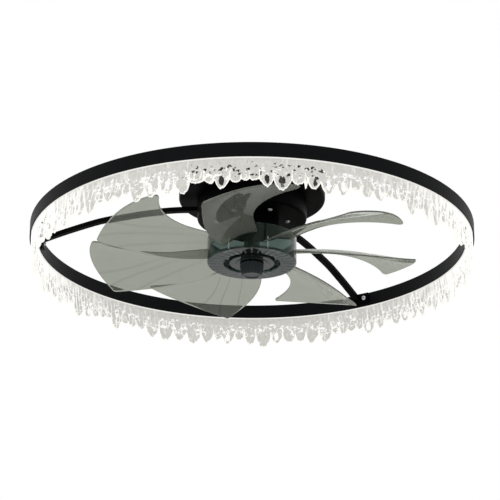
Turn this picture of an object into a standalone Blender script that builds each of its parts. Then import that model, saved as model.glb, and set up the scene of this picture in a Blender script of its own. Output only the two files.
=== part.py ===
"""Chandelier ceiling fan: a black ceiling canopy carries, on three thin arms, a round black channel
with an acrylic ring of icicle drops lit from above, and a seven-blade smoky fan turns inside the ring.

Units are metres, +Z is up. The origin is the centre of the mounting bracket's top face, which lies on
the ceiling, so the whole object hangs below z = 0.
"""

import math

import bpy
import numpy as np
from mathutils import Matrix

# Shared clearances
GAP = 0.0003
OVERRUN = 0.002

# Ring: a U channel of aluminium, open below, with the light strip in it
RING_RADIUS = 0.250
RING_DROP = 0.075
CHANNEL_WIDTH = 0.0104
CHANNEL_HEIGHT = 0.016
CHANNEL_WALL = 0.0014
LED_STRIP_WIDTH = 0.005
LED_STRIP_THICKNESS = 0.0012

# Icicle ring: its plain upper edge sits in the channel, its drops hang below
TENON_HEIGHT = 0.011
VALLEY_DEPTH = 0.024
TIP_DEPTH = 0.037
ICICLE_FOOT_THICKNESS = 0.0045
DROP_COUNT = 144
STEPS_PER_DROP = 2
DROP_PHASE = 2.4
SHORTEST_DROP_SHARE = 0.35

# Canopy: a spun steel pan, open at the ceiling, with a deep cap held under its floor by long screws
CANOPY_RADIUS = 0.083
CANOPY_DEPTH = 0.0294
CANOPY_WALL = 0.0012
CEILING_GAP = 0.0005
FLOOR_HOLE_RADIUS = 0.034
CAP_RADIUS = 0.062
CAP_DEPTH = 0.0235
CAP_WALL = 0.002
CAP_SCREW_CIRCLE = 0.0402
CAP_SCREW_COUNT = 6
EDGE_RADIUS = 0.003
EDGE_STEPS = 4

# Mounting bracket: a steel strip on the ceiling, its ends bent down inside the canopy
BRACKET_WIDTH = 0.020
BRACKET_THICKNESS = 0.002
BRACKET_TAB_DEPTH = 0.014
SIDE_SCREW_DEPTH = 0.008
CEILING_SLOT_LENGTH = 0.012
CEILING_SLOT_WIDTH = 0.005
CEILING_SLOT_REACH = 0.045
WIRE_HOLE_RADIUS = 0.006
WIRE_HOLE_REACH = 0.020

# Screws: shank radius, head radius and head height
SCREW_RADIUS = 0.0017
SCREW_HEAD_RADIUS = 0.0032
SCREW_HEAD_HEIGHT = 0.0018
SCREW_HEAD_BEVEL = 0.0008
SCREW_GRIP = 0.003

# Arms: three flat bars from the canopy's floor, out through notches in the cap, to the ring's inner face
ARM_COUNT = 3
FIRST_ARM_DEGREES = 57.7
ARM_WIDTH = 0.008
ARM_HEIGHT = 0.005
ARM_EXIT_RADIUS = 0.080
ARM_EXIT_DEPTH = 0.0387
ARM_FOOT_START = 0.0435
ARM_FOOT_END = 0.052
ARM_DROP_END = 0.059
ARM_SCREW_RADIUS_AT_FOOT = 0.0475
ARM_ROUTE_SHARES = (
    (0.00, 0.00),
    (0.15, 0.04),
    (0.30, 0.12),
    (0.45, 0.24),
    (0.58, 0.36),
    (0.72, 0.55),
    (0.87, 0.78),
    (1.00, 1.00),
)
TAB_LENGTH = 0.020
TAB_HEIGHT = 0.012
TAB_THICKNESS = 0.002
TAB_LIFT = 0.0015
TAB_SCREW_SHARE = 0.62

# Fan motor: an outer rotor bell on two ball bearings
SHAFT_RADIUS = 0.0037
SHAFT_COLLAR_RADIUS = 0.0060
BEARING_RADIUS = 0.011
BEARING_BORE = 0.004
BEARING_HEIGHT = 0.007
RACE_WALL = 0.0018
BALL_RADIUS = 0.00155
BALL_COUNT = 6
CAGE_HEIGHT = 0.0012
CAGE_WALL = 0.0009
BEARING_SPACING = 0.017
CARRIER_WALL = 0.0014
CARRIER_FLANGE_RADIUS = 0.0215
CARRIER_FLANGE_THICKNESS = 0.002
CARRIER_RIM = 0.0008
MOTOR_SCREW_COUNT = 3
BELL_RADIUS = 0.0304
BELL_WALL = 0.0012
BELL_FLOOR = 0.0018
BELL_DEPTH = 0.0140
BELL_CLEARANCE = 0.0008
MAGNET_THICKNESS = 0.0024
MAGNET_HEIGHT = 0.009
AIR_GAP = 0.0006
TOOTH_COUNT = 9
STATOR_HEIGHT = 0.005
STATOR_YOKE = 0.003
TOOTH_WIDTH = 0.0036
TOOTH_SHOE = 0.0018
TOOTH_SHOE_FILL_SHARE = 0.8
COIL_THICKNESS = 0.0015
COIL_LINK_WIDTH = 0.0012
COIL_LINK_HEIGHT = 0.0008

# Blade hub: a clear cup with a boss, ribs, seven root slots and a ring groove in its underside
HUB_RADIUS = 0.0502
HUB_DEPTH = 0.030
HUB_WALL = 0.002
HUB_PLATE = 0.0022
GROOVE_INNER_RADIUS = 0.0254
GROOVE_OUTER_RADIUS = 0.0320
GROOVE_DEPTH = 0.0055
BOSS_RADIUS = 0.0090
BOSS_FLANGE_RADIUS = 0.0185
BOSS_FLANGE_THICKNESS = 0.0008
RIB_THICKNESS = 0.0016
RIB_HEIGHT = 0.017
RIB_EDGE_CLEARANCE = 0.0045
KNOB_TOP_RADIUS = 0.0134
KNOB_END_RADIUS = 0.0110
KNOB_LENGTH = 0.0135
KNOB_FLUTES = 18
KNOB_FLUTE_DEPTH = 0.0006
KNOB_CAP = 0.0025
KNOB_RIM = 0.0009

# Blades: seven alike, each a cambered sheet with shallow pleats that run to its root
BLADE_COUNT = 7
BLADE_REACH = 0.184
BLADE_THICKNESS = 0.0018
LOW_EDGE_ROOT_DEGREES = -25.5
LOW_EDGE_TIP_DEGREES = -4.3
LOW_EDGE_POWER = 1.3
HIGH_EDGE_ROOT_DEGREES = 19.4
HIGH_EDGE_WAIST_DEGREES = 13.8
HIGH_EDGE_TIP_DEGREES = 31.0
HIGH_EDGE_POWER = 1.55
WAIST_SHARE = 0.34
LOW_EDGE_DROP = 0.0294
LOW_EDGE_ROOT_RISE = 0.0064
HIGH_EDGE_DROP = 0.0084
HIGH_EDGE_ROOT_FALL = 0.0021
CAMBER_POWER = 1.75
TIP_SWELL = 0.0070
TIP_SETBACK = 0.0122
PLEAT_COUNT = 4
PLEAT_DEPTH = 0.0009
ROOT_TAB_LENGTH = 0.004
ROOT_TAB_SHARES = (0.3, 0.7)
BLADE_ALONG_STEPS = 6
BLADE_ACROSS_STEPS = 8

# Control parts under the bracket
DRIVER_LENGTH = 0.052
DRIVER_WIDTH = 0.034
DRIVER_DEPTH = 0.020
DRIVER_WALL = 0.0015
DRIVER_REACH = 0.042
BOARD_THICKNESS = 0.0016
BOARD_PART_SHARES = (
    (0.10, 0.38, 0.20, 0.80, 0.55),
    (0.48, 0.62, 0.15, 0.45, 0.75),
    (0.48, 0.62, 0.55, 0.85, 0.75),
    (0.72, 0.90, 0.25, 0.75, 0.35),
)
TERMINAL_LENGTH = 0.018
TERMINAL_WIDTH = 0.016
TERMINAL_DEPTH = 0.010
TERMINAL_REACH = 0.057
TERMINAL_HOLE_RADIUS = 0.0017
TERMINAL_WAYS = 3

FINE_STEPS = 84
ROUND_STEPS = 48
MEDIUM_STEPS = 24
SMALL_STEPS = 16
SCREW_STEPS = 8
BALL_STEPS = 8


def clear_scene():
    for old in list(bpy.data.objects):
        bpy.data.objects.remove(old, do_unlink=True)


def finish(name, colour, roughness, metallic, alpha=1.0, transmission=0.0):
    """A Principled material with the colour in linear values."""
    material = bpy.data.materials.new(name)
    material.use_nodes = True
    shader = material.node_tree.nodes["Principled BSDF"]
    shader.inputs["Base Color"].default_value = (*colour, 1.0)
    shader.inputs["Roughness"].default_value = roughness
    shader.inputs["Metallic"].default_value = metallic
    shader.inputs["Alpha"].default_value = alpha
    shader.inputs["Transmission Weight"].default_value = transmission
    return material


def carrier(name, depth):
    """An empty on the fan's axis, this far below the ceiling, that pieces are parented to."""
    empty = bpy.data.objects.new(name, None)
    empty.location = (0.0, 0.0, -depth)
    bpy.context.scene.collection.objects.link(empty)
    return empty


def add_piece(name, shape, material, parent, degrees=0.0, helper=False):
    """One object from (points, faces) in world metres, stored about its parent and turned about Z."""
    points, faces = shape
    mesh = bpy.data.meshes.new(name)
    mesh.from_pydata((np.asarray(points) - np.array(parent.location)).tolist(), [], faces)
    mesh.materials.append(material)
    mesh.shade_smooth()
    mesh.set_sharp_from_angle(angle=math.radians(32.0))
    piece = bpy.data.objects.new(name, mesh)
    piece.parent = parent
    piece.rotation_euler.z = math.radians(degrees)
    piece.hide_render = helper
    piece.display_type = "WIRE" if helper else "TEXTURED"
    bpy.context.scene.collection.objects.link(piece)
    return piece


def add_copy(name, first, degrees):
    """Another object on the same mesh and parent, turned about Z."""
    piece = bpy.data.objects.new(name, first.data)
    piece.parent = first.parent
    piece.rotation_euler.z = math.radians(degrees)
    bpy.context.scene.collection.objects.link(piece)
    return piece


def combine(piece, name, shape, operation):
    """A Boolean with a hidden helper that shares the piece's parent, turn and material."""
    degrees = math.degrees(piece.rotation_euler.z)
    helper = add_piece(name, shape, piece.data.materials[0], piece.parent, degrees, helper=True)
    modifier = piece.modifiers.new(operation.lower(), "BOOLEAN")
    modifier.operation = operation
    modifier.object = helper


def cut(piece, name, shape):
    combine(piece, name, shape, "DIFFERENCE")


def unite(piece, name, shape):
    combine(piece, name, shape, "UNION")


def turned(profile, steps):
    """A profile of (radius, z) turned about Z. It runs down the outer side; ends on the axis are poles."""
    on_axis = profile[0][0] == 0
    rings = profile[1:-1] if on_axis else profile
    count = len(rings)
    turns = np.arange(steps) * 2 * math.pi / steps
    points = [(r * math.cos(a), r * math.sin(a), z) for a in turns for r, z in rings]
    faces = []
    for step in range(steps):
        here = step * count
        there = (step + 1) % steps * count
        for row in range(count - 1 if on_axis else count):
            below = (row + 1) % count
            faces.append((here + row, here + below, there + below, there + row))
        if on_axis:
            faces.append((steps * count, here, there))
            faces.append((steps * count + 1, there + count - 1, here + count - 1))
    if on_axis:
        points += [(0.0, 0.0, profile[0][1]), (0.0, 0.0, profile[-1][1])]
    return points, faces


def box(low, high):
    points = [(x, y, z) for z in (low[2], high[2]) for y in (low[1], high[1]) for x in (low[0], high[0])]
    faces = [(0, 2, 3, 1), (4, 5, 7, 6), (0, 1, 5, 4), (2, 6, 7, 3), (0, 4, 6, 2), (1, 3, 7, 5)]
    return points, faces


def prism(outline, low, high):
    """A closed outline of (x, y), counterclockwise, carried upright from low to high."""
    count = len(outline)
    points = [(x, y, low) for x, y in outline] + [(x, y, high) for x, y in outline]
    faces = [tuple(reversed(range(count))), tuple(range(count, 2 * count))]
    for here in range(count):
        there = (here + 1) % count
        faces.append((here, there, count + there, count + here))
    return points, faces


def moved(shape, matrix):
    points, faces = shape
    return [tuple(matrix @ Matrix.Translation(p).translation) for p in points], faces


def joined(shapes):
    """Several closed shapes in one mesh, for cutters and for unions."""
    points, faces = [], []
    for more_points, more_faces in shapes:
        start = len(points)
        points += [tuple(p) for p in more_points]
        faces += [tuple(start + i for i in face) for face in more_faces]
    return points, faces


def around(shape, count, first_degrees=0.0):
    """Copies of a shape spread evenly about Z."""
    turns = [math.radians(first_degrees) + 2 * math.pi * k / count for k in range(count)]
    return joined([moved(shape, Matrix.Rotation(a, 4, "Z")) for a in turns])


def rod(radius, start, end, steps):
    """A solid cylinder along Z from start down to end."""
    return turned([(0, start), (radius, start), (radius, end), (0, end)], steps)


def along_x(shape, depth):
    """A shape made about Z, laid so that its +Z points along -X, at this depth."""
    return moved(shape, Matrix.Translation((0.0, 0.0, -depth)) @ Matrix.Rotation(-math.pi / 2, 4, "Y"))


def screw_shape(head_face, tip):
    """A pan-head screw about Z with its head above head_face (or below it, when the tip is higher)."""
    up = 1 if head_face > tip else -1
    outer = head_face + up * SCREW_HEAD_HEIGHT
    profile = [
        (0, outer),
        (SCREW_HEAD_RADIUS - SCREW_HEAD_BEVEL, outer),
        (SCREW_HEAD_RADIUS, outer - up * SCREW_HEAD_BEVEL),
        (SCREW_HEAD_RADIUS, head_face),
        (SCREW_RADIUS, head_face),
        (SCREW_RADIUS, tip),
        (0, tip),
    ]
    return turned(profile if up > 0 else profile[::-1], SCREW_STEPS)


def sheet_solid(upper, lower, filled):
    """A closed solid between two grids of points. Only the filled cells are kept, with walls round them."""
    rows, columns = upper.shape[:2]
    points = np.concatenate([upper.reshape(-1, 3), lower.reshape(-1, 3)])
    under = rows * columns
    faces = []
    for i in range(rows - 1):
        for j in range(columns - 1):
            if not filled[i, j]:
                continue
            a, b = i * columns + j, (i + 1) * columns + j
            faces.append((a, b, b + 1, a + 1))
            faces.append((under + a + 1, under + b + 1, under + b, under + a))
            sides = (
                (i - 1, j, a + 1, a),
                (i + 1, j, b, b + 1),
                (i, j - 1, a, b),
                (i, j + 1, b + 1, a + 1),
            )
            for row, column, first, second in sides:
                inside = 0 <= row < rows - 1 and 0 <= column < columns - 1
                if not (inside and filled[row, column]):
                    faces.append((second, first, under + first, under + second))
    used = sorted({i for face in faces for i in face})
    place = {old: new for new, old in enumerate(used)}
    return points[used].tolist(), [tuple(place[i] for i in face) for face in faces]


clear_scene()

fixed = carrier("ceiling_plane", 0.0)
fan_axis = carrier("fan_axis", RING_DROP)

black_steel = finish("black_painted_steel", (0.012, 0.013, 0.015), 0.42, 0.0)
black_aluminium = finish("black_aluminium", (0.010, 0.011, 0.013), 0.38, 0.0)
zinc_steel = finish("zinc_plated_steel", (0.55, 0.56, 0.58), 0.32, 1.0)
bright_steel = finish("bearing_steel", (0.62, 0.63, 0.65), 0.2, 1.0)
lamination = finish("silicon_steel", (0.20, 0.21, 0.23), 0.45, 1.0)
copper = finish("enamelled_copper", (0.45, 0.14, 0.05), 0.35, 1.0)
ferrite = finish("ferrite_magnet", (0.03, 0.03, 0.035), 0.6, 0.0)
smoke = finish("smoked_polycarbonate", (0.30, 0.34, 0.33), 0.12, 0.0, alpha=0.55)
clear_smoke = finish("clear_smoked_polycarbonate", (0.42, 0.46, 0.45), 0.08, 0.0, alpha=0.45)
knob_plastic = finish("dark_moulded_nylon", (0.05, 0.07, 0.08), 0.4, 0.0)
acrylic = finish("clear_acrylic", (0.85, 0.86, 0.87), 0.06, 0.0, alpha=0.5)
led_white = finish("led_strip_board", (0.85, 0.85, 0.80), 0.5, 0.0)
white_plastic = finish("white_moulded_plastic", (0.72, 0.72, 0.70), 0.5, 0.0)
board_green = finish("circuit_board", (0.03, 0.16, 0.07), 0.5, 0.0)

ring_top = CHANNEL_HEIGHT / 2 - RING_DROP
ring_bottom = -CHANNEL_HEIGHT / 2 - RING_DROP
ring_inner = RING_RADIUS - CHANNEL_WIDTH
ring_middle = RING_RADIUS - CHANNEL_WIDTH / 2


# Canopy shell
floor_under = -CANOPY_DEPTH
floor_top = floor_under + CANOPY_WALL


def rounded_edge(radius, under, wall):
    """The quarter circle from an upright wall down to a flat floor, moved in by a wall."""
    points = []
    for step in range(EDGE_STEPS + 1):
        turn = step / EDGE_STEPS * math.pi / 2
        out = (EDGE_RADIUS - wall) * math.cos(turn)
        fall = (EDGE_RADIUS - wall) * math.sin(turn)
        points.append((radius - EDGE_RADIUS + out, under + EDGE_RADIUS - fall))
    return points


def pan(radius, wall, top, under, bore):
    """A round pan with an upright wall, a rounded edge and a flat floor with a round hole."""
    profile = [(radius, top), *rounded_edge(radius, under, 0.0)]
    profile += [(bore, under), (bore, under + wall)]
    profile += [*reversed(rounded_edge(radius, under, wall)), (radius - wall, top)]
    return turned(profile, ROUND_STEPS)


hole_radius = SCREW_RADIUS + GAP
shell_pan = pan(CANOPY_RADIUS, CANOPY_WALL, -CEILING_GAP, floor_under, FLOOR_HOLE_RADIUS)
shell = add_piece("canopy_shell", shell_pan, black_steel, fixed)
side_rod = rod(hole_radius, OVERRUN + CANOPY_WALL - CANOPY_RADIUS, -CANOPY_RADIUS - OVERRUN, SCREW_STEPS)
side_hole = along_x(side_rod, SIDE_SCREW_DEPTH)
floor_hole = rod(hole_radius, floor_top + OVERRUN, floor_under - OVERRUN, SCREW_STEPS)
cap_hole_in_floor = moved(floor_hole, Matrix.Translation((CAP_SCREW_CIRCLE, 0.0, 0.0)))
arm_hole_in_floor = moved(floor_hole, Matrix.Translation((ARM_SCREW_RADIUS_AT_FOOT, 0.0, 0.0)))
shell_cuts = joined(
    [
        around(side_hole, 2),
        around(cap_hole_in_floor, CAP_SCREW_COUNT),
        around(arm_hole_in_floor, ARM_COUNT, FIRST_ARM_DEGREES),
    ]
)
cut(shell, "canopy_shell_cutter", shell_cuts)


# Canopy cap, under the shell's floor, with the motor on it and a notch for each arm
cap_top = floor_under - GAP
cap_under = cap_top - CAP_DEPTH
plate_top = cap_under + CAP_WALL
carrier_radius = BEARING_RADIUS + GAP + CARRIER_WALL

cap_pan = pan(CAP_RADIUS, CAP_WALL, cap_top, cap_under, carrier_radius + GAP)
cap = add_piece("canopy_cap", cap_pan, black_steel, fixed)
arm_notch = box(
    (CAP_RADIUS - CAP_WALL - OVERRUN, -ARM_WIDTH / 2 - GAP, -ARM_EXIT_DEPTH - ARM_HEIGHT / 2 - GAP),
    (CAP_RADIUS + OVERRUN, ARM_WIDTH / 2 + GAP, cap_top + OVERRUN),
)
motor_screw_radius_at = (carrier_radius + CARRIER_FLANGE_RADIUS) / 2
cap_hole = rod(hole_radius, plate_top + OVERRUN, cap_under - OVERRUN, SCREW_STEPS)
cap_cuts = joined(
    [
        around(arm_notch, ARM_COUNT, FIRST_ARM_DEGREES),
        around(moved(cap_hole, Matrix.Translation((CAP_SCREW_CIRCLE, 0.0, 0.0))), CAP_SCREW_COUNT),
        around(moved(cap_hole, Matrix.Translation((motor_screw_radius_at, 0.0, 0.0))), MOTOR_SCREW_COUNT),
    ]
)
cut(cap, "canopy_cap_cutter", cap_cuts)

cap_screw = moved(
    screw_shape(cap_under - GAP, floor_top + SCREW_GRIP), Matrix.Translation((CAP_SCREW_CIRCLE, 0.0, 0.0))
)
first_cap_screw = add_piece("cap_screw_1", cap_screw, zinc_steel, fixed)
for number in range(1, CAP_SCREW_COUNT):
    add_copy(f"cap_screw_{number + 1}", first_cap_screw, 360.0 / CAP_SCREW_COUNT * number)


# Mounting bracket and the two side screws that hold the canopy on it
shell_inside = CANOPY_RADIUS - CANOPY_WALL
tab_face = math.sqrt(shell_inside**2 - (BRACKET_WIDTH / 2) ** 2) - GAP
half_width = BRACKET_WIDTH / 2
strip = box((-tab_face, -half_width, -BRACKET_THICKNESS), (tab_face, half_width, 0.0))
end_tab = box(
    (tab_face - BRACKET_THICKNESS, -half_width, -BRACKET_TAB_DEPTH), (tab_face, half_width, 0.0)
)
bracket = add_piece("mounting_bracket", strip, zinc_steel, fixed)
unite(bracket, "bracket_end_tabs", around(end_tab, 2))
slot = box(
    (CEILING_SLOT_REACH - CEILING_SLOT_LENGTH / 2, -CEILING_SLOT_WIDTH / 2, -BRACKET_THICKNESS - OVERRUN),
    (CEILING_SLOT_REACH + CEILING_SLOT_LENGTH / 2, CEILING_SLOT_WIDTH / 2, OVERRUN),
)
wire_hole = moved(
    rod(WIRE_HOLE_RADIUS, OVERRUN, -BRACKET_THICKNESS - OVERRUN, SMALL_STEPS),
    Matrix.Translation((WIRE_HOLE_REACH, 0.0, 0.0)),
)
tab_rod = rod(hole_radius, BRACKET_THICKNESS + OVERRUN - tab_face, -tab_face - OVERRUN, SCREW_STEPS)
tab_hole = along_x(tab_rod, SIDE_SCREW_DEPTH)
bracket_cuts = joined([around(slot, 2), wire_hole, around(tab_hole, 2)])
cut(bracket, "bracket_cutter", bracket_cuts)

side_screw_tip = BRACKET_THICKNESS + SCREW_GRIP - tab_face
side_screw = along_x(screw_shape(-CANOPY_RADIUS - GAP, side_screw_tip), SIDE_SCREW_DEPTH)
first_side_screw = add_piece("canopy_screw_1", side_screw, black_steel, fixed)
add_copy("canopy_screw_2", first_side_screw, 180.0)


# Ring channel, light strip and icicle ring
channel_profile = [
    (RING_RADIUS, ring_top),
    (RING_RADIUS, ring_bottom),
    (RING_RADIUS - CHANNEL_WALL, ring_bottom),
    (RING_RADIUS - CHANNEL_WALL, ring_top - CHANNEL_WALL),
    (ring_inner + CHANNEL_WALL, ring_top - CHANNEL_WALL),
    (ring_inner + CHANNEL_WALL, ring_bottom),
    (ring_inner, ring_bottom),
    (ring_inner, ring_top),
]
channel = add_piece("ring_channel", turned(channel_profile, FINE_STEPS), black_aluminium, fixed)

strip_top = ring_top - CHANNEL_WALL - GAP
strip_under = strip_top - LED_STRIP_THICKNESS
led_profile = [
    (ring_middle + LED_STRIP_WIDTH / 2, strip_top),
    (ring_middle + LED_STRIP_WIDTH / 2, strip_under),
    (ring_middle - LED_STRIP_WIDTH / 2, strip_under),
    (ring_middle - LED_STRIP_WIDTH / 2, strip_top),
]
add_piece("led_strip", turned(led_profile, FINE_STEPS), led_white, fixed)


def icicle_ring():
    """A band round the ring whose lower edge falls and rises once for each drop, each of its own length."""
    steps = DROP_COUNT * STEPS_PER_DROP
    half_top = CHANNEL_WIDTH / 2 - CHANNEL_WALL - GAP
    half_foot = ICICLE_FOOT_THICKNESS / 2
    points = []
    faces = []
    for step in range(steps):
        turn = 2 * math.pi * step / steps
        drop, part = divmod(step, STEPS_PER_DROP)
        length_share = SHORTEST_DROP_SHARE + (1 - SHORTEST_DROP_SHARE) * abs(math.sin(DROP_PHASE * drop))
        hang_share = math.sin(math.pi * part / STEPS_PER_DROP) * length_share
        foot = ring_bottom - VALLEY_DEPTH - (TIP_DEPTH - VALLEY_DEPTH) * hang_share
        section = (
            (ring_middle + half_top, ring_bottom + TENON_HEIGHT),
            (ring_middle + half_foot, foot),
            (ring_middle - half_foot, foot),
            (ring_middle - half_top, ring_bottom + TENON_HEIGHT),
        )
        points += [(r * math.cos(turn), r * math.sin(turn), z) for r, z in section]
        here, there = step * len(section), (step + 1) % steps * len(section)
        for row in range(len(section)):
            below = (row + 1) % len(section)
            faces.append((here + row, here + below, there + below, there + row))
    return points, faces


add_piece("icicle_ring", icicle_ring(), acrylic, fixed)


# Arms: the bar's centre line is found in (radius, z), and each bar is laid along +X and then turned
def arm_centre_line():
    foot_z = floor_under - GAP - ARM_HEIGHT / 2
    level_z = -ARM_EXIT_DEPTH
    end_radius = ring_inner - GAP - TAB_THICKNESS / 2
    end_z = -RING_DROP + TAB_LIFT
    line = [(ARM_FOOT_START, foot_z), (ARM_FOOT_END, foot_z), (ARM_DROP_END, level_z)]
    for out, fall in ARM_ROUTE_SHARES:
        radius = ARM_EXIT_RADIUS + (end_radius - ARM_EXIT_RADIUS) * out
        line.append((radius, level_z + (end_z - level_z) * fall))
    return line


def arm_bar():
    """A rectangle carried along the centre line, square to it, as a closed bar."""
    line = np.array(arm_centre_line())
    tangent = np.gradient(line, axis=0)
    tangent /= np.linalg.norm(tangent, axis=1)[:, None]
    points = []
    for (radius, z), (run, rise) in zip(line, tangent):
        for up, side in ((1, -1), (1, 1), (-1, 1), (-1, -1)):
            lift = up * ARM_HEIGHT / 2
            points.append((radius - rise * lift, side * ARM_WIDTH / 2, z + run * lift))
    faces = [(0, 1, 2, 3)]
    for station in range(len(line) - 1):
        here, there = 4 * station, 4 * station + 4
        for corner in range(4):
            after = (corner + 1) % 4
            faces.append((here + corner, there + corner, there + after, here + after))
    last = 4 * (len(line) - 1)
    faces.append((last + 3, last + 2, last + 1, last))
    return points, faces


tab_outer = ring_inner - GAP
tab_middle_z = -RING_DROP + TAB_LIFT
tab = box(
    (tab_outer - TAB_THICKNESS, ARM_WIDTH / 2 - TAB_LENGTH, tab_middle_z - TAB_HEIGHT / 2),
    (tab_outer, ARM_WIDTH / 2, tab_middle_z + TAB_HEIGHT / 2),
)
tab_sag = ring_inner - math.sqrt(ring_inner**2 - TAB_LENGTH**2)
tab = moved(tab, Matrix.Translation((-tab_sag, 0.0, 0.0)))
tab_screw_y = ARM_WIDTH / 2 - TAB_LENGTH * TAB_SCREW_SHARE - SCREW_HEAD_RADIUS / 2
tab_face_x = tab_outer - TAB_THICKNESS - tab_sag
screw_turn = Matrix.Translation((0.0, tab_screw_y, 0.0))
tab_hole_shape = rod(hole_radius, OVERRUN - tab_face_x, -ring_inner - CHANNEL_WALL - GAP, SCREW_STEPS)
tab_hole_cut = moved(along_x(tab_hole_shape, -tab_middle_z), screw_turn)
foot_under = floor_under - GAP - ARM_HEIGHT
foot_hole_cut = moved(
    rod(hole_radius, floor_under + OVERRUN, foot_under - OVERRUN, SCREW_STEPS),
    Matrix.Translation((ARM_SCREW_RADIUS_AT_FOOT, 0.0, 0.0)),
)
ring_screw = moved(
    along_x(screw_shape(-tab_face_x + GAP, -ring_inner - CHANNEL_WALL), -tab_middle_z), screw_turn
)
foot_screw = moved(
    screw_shape(foot_under - GAP, floor_top + SCREW_GRIP),
    Matrix.Translation((ARM_SCREW_RADIUS_AT_FOOT, 0.0, 0.0)),
)
for number in range(ARM_COUNT):
    degrees = FIRST_ARM_DEGREES + 360.0 / ARM_COUNT * number
    arm = add_piece(f"arm_{number + 1}", arm_bar(), black_steel, fixed, degrees)
    unite(arm, f"arm_tab_{number + 1}", tab)
    cut(arm, f"arm_holes_{number + 1}", joined([tab_hole_cut, foot_hole_cut]))
    add_piece(f"arm_ring_screw_{number + 1}", ring_screw, zinc_steel, fixed, degrees)
    add_piece(f"arm_foot_screw_{number + 1}", foot_screw, zinc_steel, fixed, degrees)
cut(channel, "ring_hole_cutter", around(tab_hole_cut, ARM_COUNT, FIRST_ARM_DEGREES))


# Bearings and their carrier tube
bell_top = cap_under - BELL_CLEARANCE
bell_under = bell_top - BELL_DEPTH
bell_floor_top = bell_under + BELL_FLOOR
lower_bearing_z = cap_under - BEARING_HEIGHT
upper_bearing_z = lower_bearing_z + BEARING_SPACING
carrier_top = upper_bearing_z + BEARING_HEIGHT / 2 + CARRIER_RIM
carrier_under = lower_bearing_z - BEARING_HEIGHT / 2 - CARRIER_RIM
flange_under = plate_top + GAP
flange_top = flange_under + CARRIER_FLANGE_THICKNESS
carrier_profile = [
    (carrier_radius, carrier_top),
    (carrier_radius, flange_top),
    (CARRIER_FLANGE_RADIUS, flange_top),
    (CARRIER_FLANGE_RADIUS, flange_under),
    (carrier_radius, flange_under),
    (carrier_radius, carrier_under),
    (BEARING_RADIUS + GAP, carrier_under),
    (BEARING_RADIUS + GAP, carrier_top),
]
bearing_carrier = add_piece("bearing_carrier", turned(carrier_profile, MEDIUM_STEPS), black_steel, fixed)
flange_hole = rod(hole_radius, flange_top + OVERRUN, flange_under - OVERRUN, SCREW_STEPS)
flange_holes = around(
    moved(flange_hole, Matrix.Translation((motor_screw_radius_at, 0.0, 0.0))), MOTOR_SCREW_COUNT
)
cut(bearing_carrier, "flange_hole_cutter", flange_holes)
motor_screw = moved(
    screw_shape(flange_top + GAP, cap_under + GAP), Matrix.Translation((motor_screw_radius_at, 0.0, 0.0))
)
first_motor_screw = add_piece("motor_screw_1", motor_screw, zinc_steel, fixed)
for number in range(1, MOTOR_SCREW_COUNT):
    add_copy(f"motor_screw_{number + 1}", first_motor_screw, 360.0 / MOTOR_SCREW_COUNT * number)

race_outer_wall = BEARING_RADIUS - RACE_WALL
race_inner_wall = BEARING_BORE + RACE_WALL
ball_circle = (race_outer_wall + race_inner_wall) / 2


def race(outer, inner, middle):
    half = BEARING_HEIGHT / 2
    return turned(
        [(outer, middle + half), (outer, middle - half), (inner, middle - half), (inner, middle + half)],
        MEDIUM_STEPS,
    )


def ball():
    """A ball as a turned half circle."""
    turns = [math.pi * step / (BALL_STEPS // 2) for step in range(BALL_STEPS // 2 + 1)]
    profile = [(BALL_RADIUS * math.sin(a), BALL_RADIUS * math.cos(a)) for a in turns]
    profile[0], profile[-1] = (0, BALL_RADIUS), (0, -BALL_RADIUS)
    return turned(profile, BALL_STEPS)


for place, middle in (("upper", upper_bearing_z), ("lower", lower_bearing_z)):
    outer_race = race(BEARING_RADIUS, race_outer_wall, middle)
    inner_race = race(race_inner_wall, BEARING_BORE, middle)
    add_piece(f"{place}_bearing_outer_race", outer_race, bright_steel, fixed)
    add_piece(f"{place}_bearing_inner_race", inner_race, bright_steel, fan_axis)
    cage_profile = [
        (ball_circle + CAGE_WALL / 2, middle + CAGE_HEIGHT / 2),
        (ball_circle + CAGE_WALL / 2, middle - CAGE_HEIGHT / 2),
        (ball_circle - CAGE_WALL / 2, middle - CAGE_HEIGHT / 2),
        (ball_circle - CAGE_WALL / 2, middle + CAGE_HEIGHT / 2),
    ]
    cage_axis = carrier(f"{place}_cage_axis", -middle)
    cage_ring = turned(cage_profile, SMALL_STEPS)
    cage = add_piece(f"{place}_bearing_ball_cage", cage_ring, bright_steel, cage_axis)
    balls = around(moved(ball(), Matrix.Translation((ball_circle, 0.0, middle))), BALL_COUNT)
    unite(cage, f"{place}_balls", balls)


# Stator on the carrier tube, rotor bell and magnets round it
magnet_outer = BELL_RADIUS - BELL_WALL - GAP
magnet_inner = magnet_outer - MAGNET_THICKNESS
stator_radius = magnet_inner - AIR_GAP
stator_bore = carrier_radius + GAP
yoke_radius = stator_bore + STATOR_YOKE
stator_middle = (bell_floor_top + bell_top) / 2


def stator_outline():
    """The outer outline: a yoke circle that steps out into a neck and a curved shoe at each tooth."""
    pitch = 2 * math.pi / TOOTH_COUNT
    neck_turn = math.asin(TOOTH_WIDTH / 2 / yoke_radius)
    shoe_radius = stator_radius - TOOTH_SHOE
    shoe_turn = pitch / 2 * TOOTH_SHOE_FILL_SHARE
    neck_out_turn = math.asin(TOOTH_WIDTH / 2 / shoe_radius)
    marks = (
        (yoke_radius, -neck_turn),
        (shoe_radius, -neck_out_turn),
        (shoe_radius, -shoe_turn),
        (stator_radius, -shoe_turn),
        (stator_radius, 0.0),
        (stator_radius, shoe_turn),
        (shoe_radius, shoe_turn),
        (shoe_radius, neck_out_turn),
        (yoke_radius, neck_turn),
        (yoke_radius, pitch / 2),
    )
    turns = [k * pitch for k in range(TOOTH_COUNT)]
    return [(r * math.cos(a + t), r * math.sin(a + t)) for t in turns for r, a in marks]


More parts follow.
